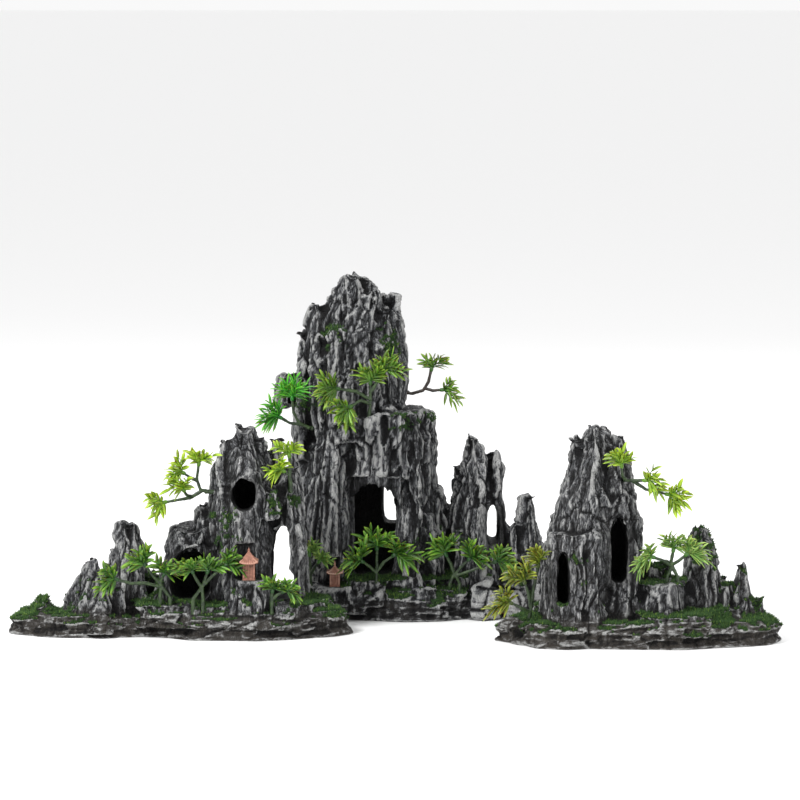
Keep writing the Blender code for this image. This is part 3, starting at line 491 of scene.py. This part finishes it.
mainRock = {
    "voxel": 0.00178, "seed": 200, "fins": 0.0052, "ribs": 0.0036, "threads": 0.0015, "chunks": 0.0020,
    "cracks": 0.0028, "chips": 0.0009, "layers": 0.0020, "baseTop": 0.022, "warmth": 0.0,
    "mossTop": 0.052, "box": np.array(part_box("main_mountain")),
    "paleSpots": [((0.82, 0.0, 0.05), (0.17, 0.5, 0.10), 1.4), ((0.30, 0.1, 0.42), (0.12, 0.5, 0.26), 0.7),
                  ((0.14, 0.0, 0.11), (0.15, 0.7, 0.05), 0.88)],
    "mossSpots": [((0.42, 0.1, 0.78), (0.10, 0.6, 0.12), 0.85), ((0.22, 0.2, 0.80), (0.08, 0.6, 0.06), 0.8),
                  ((0.52, 0.1, 0.565), (0.30, 0.6, 0.035), 0.9), ((0.14, 0.2, 0.62), (0.10, 0.6, 0.06), 0.7),
                  ((0.28, 0.1, 0.44), (0.10, 0.6, 0.04), 0.7), ((0.62, 0.1, 0.22), (0.20, 0.6, 0.08), 0.6)],
}
rightRock = {
    "voxel": 0.0015, "seed": 300, "fins": 0.0042, "ribs": 0.0030, "threads": 0.0013, "chunks": 0.0016,
    "cracks": 0.0024, "chips": 0.0008, "layers": 0.0020, "baseTop": 0.026, "warmth": 0.3,
    "mossTop": 0.075, "box": np.array(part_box("right_island")),
    "paleSpots": [((0.36, 0.2, 0.7), (0.14, 0.6, 0.3), 0.3), ((0.60, 0.15, 0.22), (0.13, 0.5, 0.09), 0.88),
                  ((0.50, 0.0, 0.10), (0.30, 0.4, 0.05), 0.5)],
    "mossSpots": [((0.72, 0.3, 0.45), (0.16, 0.7, 0.14), 0.8), ((0.30, 0.2, 0.35), (0.10, 0.6, 0.12), 0.7)],
}

flock = mossPaint()
rockTrees, mossTrees = {}, {}
for node, body, values in (("left_range", "left", leftRock), ("main_mountain", "main", mainRock),
                           ("right_island", "right", rightRock)):
    mesh, points, normals, moss = carveRock(node, values)
    mesh.name = node
    rockTrees[node] = treeOf(mesh)
    pieceOf(node + "_carved", mesh, rockPaint(node + "_paint", values["warmth"]), body, "resin_rock", node)
    growth = tufts(points, normals, moss)
    mossTrees[node] = treeOf(growth)
    pieceOf(node + "_moss", growth, flock, body, "resin_rock")


fringeLooks = {
    "least": 0.004, "most": 0.026, "ragged": 0.0055, "deep": 0.010, "seed": 77, "sides": 24, "columns": 110,
    "past": 0.007, "above": 0.010,
}


def fringe(rock, opening, looks):  # a ragged stone fringe that arches a cave mouth
    sides, columns = looks["sides"], looks["columns"]
    share = np.linspace(0, 1, columns)
    across = opening[0][0] - looks["past"] + (opening[1][0] - opening[0][0] + 2 * looks["past"]) * share
    top = opening[1][2] + looks["above"]
    face = []
    for x in across:
        hit = rock.ray_cast(Vector((x, -1, top + 0.006)), Vector((0, 1, 0)))[0]
        face.append(hit.y if hit else opening[0][1])
    face = np.convolve(np.pad(face, 4, "edge"), np.ones(9) / 9, "valid") + 0.0015
    column = np.stack([across, 0 * across, 0 * across], axis=1)
    ragged = crest(column / 0.010, looks["seed"]) * 0.6 + crest(column / 0.0042, looks["seed"] + 1) * 0.4
    arch = np.abs(2 * share - 1)**2.4  # 0 in the middle, 1 at the sides
    drop = looks["above"] + looks["least"] + (looks["most"] - looks["least"]) * arch
    drop = drop + looks["ragged"] * ragged
    turn = np.arange(sides) * 2 * pi / sides
    along, down = np.cos(turn), np.sin(turn)
    y = face[:, None] + looks["deep"] / 2 * (1 - np.sign(along) * np.abs(along)**0.6)
    z = top - drop[:, None] / 2 * (1 - np.sign(down) * np.abs(down)**0.7)
    points = np.stack([np.broadcast_to(across[:, None], y.shape), y, z], axis=2).reshape(-1, 3)
    rib = crest(points / (0.0055, 0.0055, 0.03), looks["seed"] + 2)
    front = np.tile(ramp(along, -0.2, 0.4), columns)
    points[:, 1] -= 0.0016 * (rib - 0.4) * front
    outward = [face[:1] + face[:0:-1] for face in tubeFaces(columns, sides)]
    mesh = meshOf("fringe", points, outward)
    attribute(mesh, "ridge", 0.15 + 0.6 * rib)
    # between the ribs the hollows are darkened as on the rock, partly painted shade; the back and underside
    # take the painted cave shadow
    attribute(mesh, "hollow", 0.5 * (1 - rib))
    attribute(mesh, "cave", 1 - front)
    for name in ("base", "moss", "pale"):
        attribute(mesh, name, np.zeros(len(points)))
    return mesh


drips = fringe(rockTrees["main_mountain"], openings["great_cave"], fringeLooks)
pieceOf("great_cave_fringe", drips, bpy.data.materials["main_mountain_paint"], "main", "resin_rock")


stemLooks = {
    "voxel": 0.00042, "bark": 0.00022, "swell": 0.00025, "grown": 0.00035,
    "green": ((0.006, 0.016, 0.005, 1), (0.045, 0.085, 0.022, 1)),
    "brown": ((0.006, 0.004, 0.003, 1), (0.050, 0.034, 0.022, 1)),
}


def stemPaint(name, dark, light):
    paint, tree, shader = newPaint(name)
    where = put(tree, "TexCoord").outputs["Object"]
    mottle = speckle(tree, where, 260, 4, 0.6)
    tall = put(tree, "Mapping", {"Vector": where, "Scale": (1, 1, 0.35)}).outputs[0]
    bark = speckle(tree, tall, 1400, 3, 0.6)
    tone = plus(tree, bark, 0.5, times(tree, mottle, 0.6))
    tree.links.new(blended(tree, between(tree, tone, 0.42, 0.74), dark, light), shader.inputs["Base Color"])
    tree.links.new(plus(tree, mottle, 0.3, 0.25), shader.inputs["Roughness"])
    roughen(tree, shader, bark, 0.6, 0.0004)
    return paint


def barked(node):  # the CAD trunk with its edges eased and a knotty bark of noise along its normals
    looks = stemLooks
    mesh = remeshed(node, looks["voxel"])
    points = read(mesh.vertices, "co", 3)
    edges = read(mesh.edges, "vertices", 2, np.int32)
    points = neighbourMean(points, edges, 3)
    reshape(mesh, points)
    normals = read(mesh.vertices, "normal", 3)
    depth = looks["bark"] * crest(points / (0.0016, 0.0016, 0.0042), 31)
    depth = depth + looks["swell"] * wander(points / 0.006, 32)
    reshape(mesh, points + normals * (depth + looks["grown"])[:, None])
    return mesh


greenStem = stemPaint("green_stem", *stemLooks["green"])
stems = {"outer_tree": stemPaint("brown_stem", *stemLooks["brown"])}  # every other trunk is green


def leafPaint(name, deep, fresh, tips):
    paint, tree, shader = newPaint(name)
    along, tint, rib = grown(tree, "along"), grown(tree, "tint"), grown(tree, "rib")
    where = put(tree, "TexCoord").outputs["Object"]
    veins = speckle(tree, where, 900, 2, 0.5)
    share = plus(tree, tint, 0.75, plus(tree, veins, 0.35, -0.15))
    colour = blended(tree, between(tree, share, 0.1, 0.8), deep, fresh)
    ripe = plus(tree, along, 0.8, times(tree, tint, 0.35))
    colour = blended(tree, between(tree, ripe, 0.55, 1.1), colour, tips)
    colour = blended(tree, times(tree, rib, 0.3), colour, tips)
    tree.links.new(colour, shader.inputs["Base Color"])
    tree.links.new(plus(tree, veins, 0.2, 0.28), shader.inputs["Roughness"])
    shader.inputs["Subsurface Weight"].default_value = 0.12
    shader.inputs["Subsurface Scale"].default_value = 0.0015
    roughen(tree, shader, veins, 0.25, 0.0003)
    return paint


leafColours = {  # deep, fresh, tips
    "lime": ((0.090, 0.21, 0.006, 1), (0.24, 0.44, 0.012, 1), (0.50, 0.66, 0.06, 1)),
    "forest": ((0.010, 0.055, 0.006, 1), (0.035, 0.150, 0.010, 1), (0.20, 0.40, 0.03, 1)),
    "vivid": ((0.012, 0.16, 0.008, 1), (0.045, 0.36, 0.015, 1), (0.16, 0.56, 0.04, 1)),
    "grass": ((0.024, 0.085, 0.006, 1), (0.075, 0.22, 0.012, 1), (0.26, 0.44, 0.04, 1)),
    "olive": ((0.045, 0.075, 0.006, 1), (0.12, 0.19, 0.012, 1), (0.36, 0.42, 0.05, 1)),
    "pale": ((0.050, 0.15, 0.018, 1), (0.16, 0.33, 0.05, 1), (0.40, 0.58, 0.14, 1)),
}

leafPaints = {name: leafPaint(name + "_leaf", *colours) for name, colours in leafColours.items()}

sprayLooks = {  # how many leaves, their length, width and droop, how flat the fan is, and the paint
    "cliff_tree": dict(leaves=32, long=0.0155, wide=0.0050, droop=0.20, flat=0.55, paint="lime"),
    "twin_leg_tree": dict(leaves=38, long=0.0170, wide=0.0049, droop=0.16, flat=0.45, paint="forest"),
    "rim_tree": dict(leaves=38, long=0.0155, wide=0.0049, droop=0.16, flat=0.45, paint="forest"),
    "ledge_fern": dict(leaves=36, long=0.0145, wide=0.0041, droop=0.18, flat=0.5, paint="forest"),
    "crest_fern": dict(leaves=36, long=0.0160, wide=0.0039, droop=0.30, flat=0.6, paint="lime"),
    "summit_tree": dict(leaves=52, long=0.0175, wide=0.0049, droop=0.15, flat=0.7, paint="grass"),
    "outer_tree": dict(leaves=34, long=0.0150, wide=0.0039, droop=0.20, flat=0.7, paint="grass"),
    "bright_tree": dict(leaves=64, long=0.0190, wide=0.0032, droop=0.22, flat=0.7, paint="vivid"),
    "ledge_bush": dict(leaves=40, long=0.0115, wide=0.0037, droop=0.18, flat=0.6, paint="pale"),
    "cave_fern": dict(leaves=46, long=0.0195, wide=0.0049, droop=0.16, flat=0.45, paint="forest"),
    "meadow_fern": dict(leaves=46, long=0.0195, wide=0.0049, droop=0.16, flat=0.45, paint="forest"),
    "shore_fern": dict(leaves=44, long=0.0175, wide=0.0041, droop=0.22, flat=0.5, paint="olive"),
    "peak_tree": dict(leaves=34, long=0.0160, wide=0.0049, droop=0.18, flat=0.6, paint="lime"),
    "terrace_tree": dict(leaves=60, long=0.0165, wide=0.0029, droop=0.22, flat=0.55, paint="pale"),
}


def limbEnd(plant, sprig):  # a limb's tip and the way it points, from the CAD trunk near the spray's cup
    cup = read(frame["nodes"][sprig].data.vertices, "co", 3)
    middle = np.median(cup, axis=0)
    middle = cup[np.linalg.norm(cup - middle, axis=1) < 0.0045].mean(axis=0)
    wood = read(frame["nodes"][plant + "_trunk"].data.vertices, "co", 3)
    away = np.linalg.norm(wood - middle, axis=1)
    tip = wood[away < 0.0021].mean(axis=0)
    before = wood[(away > 0.0023) & (away < 0.0046)]
    return tip, unit(tip - before.mean(axis=0))


def clearOf(solids, foot, way, length, pull):  # turns a leaf away from what it would meet, or shortens it
    for _ in range(5):
        casts = [solid.ray_cast(Vector(foot + pull * share), Vector(way), length * 1.25)
                 for solid in solids for share in (0, 0.5, 1)]  # at rest, half pulled and pulled
        casts = [cast for cast in casts if cast[0] is not None]
        if not casts:
            return way, length
        _, normal, _, distance = min(casts, key=lambda cast: cast[3])
        way = unit(way + np.array(normal) * 0.7)
    return way, min(length, max(0.003, distance * 0.75))


def clearAll(solids, feet, ways, lengths, pull):
    for number, foot in enumerate(feet):
        ways[number], lengths[number] = clearOf(solids, foot, ways[number], lengths[number], pull)


leafShape = {"stations": 8, "bend": 0.12, "fold": 0.32, "thick": 0.00022}
leafCorners = 4 * leafShape["stations"]  # the points of one leaf
leafSides = leafCorners - 2  # and its faces


def leaves(feet, ways, lengths, widths, faceTo, droop, random):  # four points round each station of a blade
    looks, count = leafShape, len(feet)
    share = np.linspace(0, 1, looks["stations"])
    side = unit(np.cross(ways, faceTo))
    face = np.cross(side, ways)
    half = widths[:, None] * 0.95 * (share + 0.02)**0.55 * (1.003 - share)**0.8  # widest at two fifths
    middle = feet[:, None] + ways[:, None] * (lengths[:, None] * share)[:, :, None]
    bend = random.uniform(-looks["bend"], looks["bend"], (count, 1)) * lengths[:, None] * share**2
    middle = middle + side[:, None] * bend[:, :, None]
    middle[:, :, 2] -= droop * lengths[:, None] * share**2  # sinks with the square of the share
    fold = half * looks["fold"]
    thick = (looks["thick"] * (1.08 - share))[None, :] * np.ones((count, 1))
    ring = np.stack([
        middle + side[:, None] * half[:, :, None] + face[:, None] * fold[:, :, None],
        middle + face[:, None] * thick[:, :, None],
        middle - side[:, None] * half[:, :, None] + face[:, None] * fold[:, :, None],
        middle - face[:, None] * thick[:, :, None],
    ], axis=2)
    faces = np.arange(count)[:, None, None] * leafCorners + np.array(tubeFaces(looks["stations"], 4))
    along = np.broadcast_to(share[None, :, None], ring.shape[:3]).ravel()
    rib = np.broadcast_to(np.array([0, 1, 0, 1]), ring.shape[:3]).ravel()
    return ring.reshape(-1, 3), faces.reshape(-1, 4), along, rib


def drawIn(points, faces, feet, solids, pull):  # shrinks a leaf that would still meet something when pulled
    owner = np.repeat(np.arange(len(feet)), leafCorners)
    for _ in range(5):
        swept = BVHTree.FromPolygons((points + pull).tolist(), faces.tolist())
        met = {face // leafSides for solid in solids for face, _ in swept.overlap(solid)}
        if not met:
            break
        drawn = np.isin(owner, list(met))
        points[drawn] = feet[owner[drawn]] * 0.4 + points[drawn] * 0.6


def tubes(paths, radii, sides):  # closed tapering tubes: a ring of points round each point of each path
    ahead = unit(np.gradient(paths, axis=1))
    side = unit(np.cross(ahead, np.array([0.31, 0.87, 0.23])))
    other = np.cross(ahead, side)
    angle = np.arange(sides) * 2 * pi / sides
    ring = paths[:, :, None] + radii[None, :, None, None] * (
        side[:, :, None] * np.cos(angle)[:, None] + other[:, :, None] * np.sin(angle)[:, None])
    return joined([(points, tubeFaces(len(radii), sides)) for points in ring.reshape(len(paths), -1, 3)])


sprayShape = {
    "shoots": 6, "spread": 1.25, "sag": 0.10, "twig": (0.00055, 0.00028), "joints": 5,
    "cupSpan": (-0.0034, 0.0016), "cup": (0.0015, 0.0019, 0.0019, 0.0017, 0.0008), "cupSides": 9,
}
toward = np.array([0, -1.0, 0.0])  # the way the leaves turn their faces


def spray(plant, sprig, solids, moss, pull, looks, seed):  # a cup, shoots fanned from it, leaves in pairs
    random = np.random.default_rng(seed)
    shape, count, shoots = sprayShape, looks["leaves"], sprayShape["shoots"]
    tip, axis = limbEnd(plant, sprig)
    across = unit(np.cross(axis, (0.1, 1.0, 0.2)))
    over = np.cross(across, axis)
    loose = 1 - looks["flat"]
    spread = np.linspace(-1, 1, shoots) * shape["spread"] + random.uniform(-0.15, 0.15, shoots)
    lean = random.uniform(-0.7, 0.7, shoots)
    headed = unit(axis + across * spread[:, None] + over * lean[:, None] * loose + toward * 0.15)
    reach = looks["long"] * random.uniform(0.55, 1.05, shoots)
    clearAll(solids, np.tile(tip, (shoots, 1)), headed, reach, pull)

    step = np.linspace(0, 1, shape["joints"])
    paths = tip + headed[:, None] * (reach[:, None] * step)[:, :, None]
    paths[:, :, 2] -= shape["sag"] * reach[:, None] * step**2
    twigs = tubes(paths, np.linspace(*shape["twig"], shape["joints"]), 5)
    cupPath = tip + axis * np.linspace(*shape["cupSpan"], len(shape["cup"]))[:, None]
    cup = tubes(cupPath[None], np.array(shape["cup"]), shape["cupSides"])

    shoot, row = np.arange(count) % shoots, np.arange(count) // shoots
    place = (row + random.uniform(0, 0.8, count)) / (count // shoots + 0.5)
    feet = tip + headed[shoot] * (reach[shoot] * place)[:, None]
    feet[:, 2] -= shape["sag"] * reach[shoot] * place**2
    sideways = np.where(row % 2, 1.0, -1.0)[:, None]
    fan = random.uniform(0.55, 1.15, (count, 1)) * (1.0 - 0.75 * place[:, None]**2)
    ways = headed[shoot] * 0.85 + unit(np.cross(headed[shoot], toward)) * sideways * fan
    ways = ways + over * random.uniform(-0.8, 0.8, (count, 1)) * loose
    ways = unit(ways + toward * random.uniform(-0.1, 0.5, (count, 1)) + np.array([0, 0, 0.10]))
    lengths = looks["long"] * random.uniform(0.55, 0.85, count)
    clearAll(solids, feet, ways, lengths, pull)
    faceTo = unit(toward * 0.8 + np.array([0, 0, 0.8]) + random.normal(size=(count, 3)) * 0.40)
    widths = looks["wide"] * random.uniform(0.8, 1.15, count) * (lengths / looks["long"])**0.3
    blades, bladeFaces, along, rib = leaves(feet, ways, lengths, widths, faceTo, looks["droop"], random)
    drawIn(blades, bladeFaces, feet, solids + [moss], pull)

    mesh = meshOf(sprig, *joined([(blades, bladeFaces.tolist()), twigs, cup]))
    tint = np.repeat(random.uniform(0, 1, count), leafCorners)
    for name, numbers in (("along", along), ("rib", rib), ("tint", tint)):
        attribute(mesh, name, np.pad(numbers.astype(float), (0, len(mesh.vertices) - len(blades))))
    return mesh


hosts = {joint["child"]: joint["parent"] for joint in frame["joints"]}
castings = {"left": "left_range", "main": "main_mountain", "right": "right_island"}
pulls = {joint["child"]: np.array(joint["axis"], float) * joint["range_m"][1] for joint in frame["joints"]}
grownOn = {body: [rockTrees[casting]] for body, casting in castings.items()}
for number, (plant, looks) in enumerate(sprayLooks.items()):
    solids, moss = grownOn[hosts[plant]], mossTrees[castings[hosts[plant]]]
    stem = stems.get(plant, greenStem)
    pieceOf(plant + "_stem", barked(plant + "_trunk"), stem, plant, "stem_plastic", plant + "_trunk")
    sprigs = sorted(name for name in frame["nodes"] if name.startswith(plant + "_sprig_"))
    meshes = []
    for sprig in sprigs:
        seed = 1000 + number * 50 + int(sprig[-1])
        meshes.append(spray(plant, sprig, solids, moss, pulls[plant], looks, seed))
    for sprig, mesh in zip(sprigs, meshes):
        pieceOf(sprig + "_leaves", mesh, leafPaints[looks["paint"]], plant, "leaf_plastic", sprig)
        solids.append(treeOf(mesh))
print("plants done")


clayLooks = {"deep": (0.085, 0.032, 0.022, 1), "clay": (0.34, 0.155, 0.105, 1), "dust": (0.66, 0.45, 0.36, 1)}


def clayPaint(name, paleness):
    looks = clayLooks
    paint, tree, shader = newPaint(name)
    where = put(tree, "TexCoord").outputs["Object"]
    mottle = speckle(tree, where, 420, 4, 0.6)
    grain = speckle(tree, where, 2600, 3, 0.6)
    proud = grown(tree, "ridge")
    share = between(tree, plus(tree, mottle, 0.6, times(tree, proud, 0.5)), 0.3, 0.75)
    colour = blended(tree, share, looks["deep"], looks["clay"])
    dusted = plus(tree, proud, 0.8, plus(tree, grain, 0.5, paleness - 0.35))
    colour = blended(tree, between(tree, dusted, 0.55, 1.0), colour, looks["dust"])
    tree.links.new(colour, shader.inputs["Base Color"])
    tree.links.new(plus(tree, grain, 0.2, 0.6), shader.inputs["Roughness"])
    roughen(tree, shader, grain, 0.4, 0.0003)
    return paint


def squareRings(levels, perSide, centre):  # a closed body of stacked square rings
    size = 4 * perSide
    turn, one = np.arange(size), np.ones(size)
    along = turn % perSide / perSide * 2 - 1
    outX = np.choose(turn // perSide, [along, one, -along, -one])
    outY = np.choose(turn // perSide, [-one, along, one, -along])
    corner, tile = np.abs(along)**3, np.abs(np.sin(along * pi * 4))
    rings, proud = [], []
    for height, half, lift, ripple, worn in levels:  # lift raises the corners, ripple the tiles
        rings.append(np.stack([outX * half, outY * half, height + lift * corner + ripple * tile], axis=1))
        proud.append(np.clip(worn + tile * 0.35 * (ripple > 0) + corner * 0.3 * (lift > 0), 0, 1))
    return np.concatenate(rings) + centre, tubeFaces(len(levels), size), np.concatenate(proud)


def turned(profile, sides, centre, worn):  # a closed body turned round the upright: (height, radius) pairs
    angle = np.arange(sides) * 2 * pi / sides
    rings = [np.stack([np.cos(angle) * r, np.sin(angle) * r, np.full(sides, h)], axis=1) for h, r in profile]
    return np.concatenate(rings) + centre, tubeFaces(len(profile), sides), np.full(len(profile) * sides, worn)


def block(low, high, worn):  # a small closed box with its corners at low and high
    ends = (low, high)
    around = ((0, 0), (1, 0), (1, 1), (0, 1))
    corners = [[ends[x][0], ends[y][1], ends[z][2]] for z in (0, 1) for x, y in around]
    faces = [[3, 2, 1, 0], [4, 5, 6, 7], [0, 1, 5, 4], [1, 2, 6, 5], [2, 3, 7, 6], [3, 0, 4, 7]]
    return np.array(corners), faces, np.full(8, worn)


def roofLevels(top, peak, wall, eaves, sweep):  # round the eaves, then nine steps up a swept slope
    levels = [(top * 0.97, wall * 0.9, 0, 0, 0.1), (top * 0.96, eaves * 0.97, 0.0016, 0, 0.2),
              (top * 0.985, eaves, 0.0021, 0.0003, 0.9), (top * 1.02, eaves * 0.985, 0.0020, 0.0004, 0.8)]
    for share in np.linspace(0.1, 1, 9):
        left = 1 - share
        half = eaves * left * (1 - sweep * share * left * 4) + eaves * 0.07
        height = top * 1.02 + (peak - top) * share
        levels.append((height, half, 0.0018 * left**2, 0.00045 * left**0.5, 0.45 - 0.2 * share))
    return levels


def panels(middle, wall, top, tall, looks):  # bars and rails on the four walls
    for facing in np.array([[0, -1], [1, 0], [0, 1], [-1, 0]]):
        side = np.array([-facing[1], facing[0]])
        centre = middle[:2] + facing * wall
        low, high = middle[2] + tall * 0.12, middle[2] + top * 0.95
        for offset in looks["bars"]:
            spot = centre + side * wall * offset
            half = np.abs(facing) * 0.0005 + np.abs(side) * 0.00035
            yield block(np.append(spot - half, low), np.append(spot + half, high), 0.6)
        for level in looks["rails"]:
            half = np.abs(facing) * 0.00055 + np.abs(side) * wall * 0.95
            at = middle[2] + top * level
            yield block(np.append(centre - half, at), np.append(centre + half, at + 0.0007), 0.65)


def pavilion(name, looks):  # plinth, panelled walls, corner posts, swept tiled roof and finial
    low, high = (np.array(corner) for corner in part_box(name))
    middle = np.append((low[:2] + high[:2]) / 2, low[2])
    tall, eaves = high[2] - low[2], (high[0] - low[0]) / 2
    wall, top, peak = eaves * looks["walls"], tall * looks["eavesAt"], tall * looks["peakAt"]
    steps = [(0, 1.22), (0.035, 1.22), (0.045, 1.10), (0.075, 1.10), (0.085, 1)]
    body = [(share * tall, wall * wide, 0, 0, 0.5) for share, wide in steps]
    body += [(top * 0.98, wall, 0, 0, 0.35), (top, wall * 1.12, 0, 0, 0.6)]
    roof = roofLevels(top, peak, wall, eaves, looks["sweep"])
    parts = [squareRings(body, 8, middle), squareRings(roof, 24, middle)]
    for x, y in ((-1, -1), (-1, 1), (1, -1), (1, 1)):
        post = middle + np.array([x * wall, y * wall, 0])
        parts.append(block(post + (-0.0007, -0.0007, tall * 0.08), post + (0.0007, 0.0007, top), 0.7))
    parts += panels(middle, wall, top, tall, looks)
    knob, rest = eaves * 0.14, tall - peak
    profile = [(peak - 0.0008, knob * 0.9), (peak, knob * 1.2), (peak + 0.0006, knob * 0.7),
               (peak + rest * 0.45, knob * 1.0), (peak + rest * 0.6, knob * 0.5), (tall * 0.995, knob * 0.12)]
    parts.append(turned(profile, 12, middle, 0.75))
    mesh = meshOf(name, *joined([(points, faces) for points, faces, _ in parts]))
    mesh.shade_flat()
    attribute(mesh, "ridge", np.concatenate([worn for _, _, worn in parts]))
    return mesh


leftPavilion = {  # walls as a share of the eaves, heights of the eaves and the peak as shares of the whole
    "walls": 0.56, "eavesAt": 0.52, "peakAt": 0.86, "sweep": 0.16,
    "bars": (-0.5, 0.0, 0.5), "rails": (0.30, 0.72), "paleness": 0.0,
}
mainPavilion = {
    "walls": 0.52, "eavesAt": 0.50, "peakAt": 0.76, "sweep": 0.34,
    "bars": (-0.45, 0.45), "rails": (0.80,), "paleness": 0.2,
}

for node, body, looks in (("left_pavilion", "left", leftPavilion), ("main_pavilion", "main", mainPavilion)):
    paint = clayPaint(node + "_clay", looks["paleness"])
    pieceOf(node + "_built", pavilion(node, looks), paint, body, "pavilion_resin", node)
print("pavilions done")


studio = {
    "floor": (0.93, 0.93, 0.93, 1), "reach": 400, "sky": (1.0, 1.0, 1.0, 1), "skyStrength": 0.95,
    "lens": 175, "distance": 3.5, "elevation": 5.8, "aim": (0.0055, -0.0330, 0.2115),
    "lamps": {  # where, what it shines at, size, power
        "key": ((-1.5, -1.2, 1.9), (0, 0, 0.12), 0.6, 62),
        "fill": ((1.7, -1.2, 0.9), (0, 0, 0.12), 1.2, 9),
        "rim": ((0.5, 1.5, 1.7), (0, 0, 0.15), 1.0, 12),
    },
}

reach = studio["reach"]
floorCorners = [(-reach, -reach, 0), (reach, -reach, 0), (reach, reach, 0), (-reach, reach, 0)]
floorMesh = meshOf("floor", floorCorners, [(0, 1, 2, 3)])
floor = linked("floor", floorMesh)
floorPaint, _, floorShader = newPaint("floor_paint")
floorShader.inputs["Base Color"].default_value = studio["floor"]
floorShader.inputs["Roughness"].default_value = 0.9
floorMesh.materials.append(floorPaint)

world = bpy.data.worlds.new("studio")
world.use_nodes = True
world.node_tree.nodes["Background"].inputs["Color"].default_value = studio["sky"]
world.node_tree.nodes["Background"].inputs["Strength"].default_value = studio["skyStrength"]
bpy.context.scene.world = world
bpy.context.scene.view_settings.view_transform = "Standard"

for name, (place, aim, size, power) in studio["lamps"].items():
    lamp = bpy.data.lights.new(name, "AREA")
    lamp.size = size
    lamp.energy = power
    holder = linked(name, lamp)
    holder.location = place
    holder.rotation_euler = (Vector(aim) - Vector(place)).to_track_quat("-Z", "Y").to_euler()

camera = linked("camera", bpy.data.cameras.new("camera"))
bpy.context.scene.camera = camera
camera.data.lens = studio["lens"]
camera.data.sensor_width = 36
tilt = radians(studio["elevation"])
camera.location = Vector(studio["aim"]) + Vector((0, -np.cos(tilt), np.sin(tilt))) * studio["distance"]
camera.rotation_euler = (Vector(studio["aim"]) - camera.location).to_track_quat("-Z", "Y").to_euler()
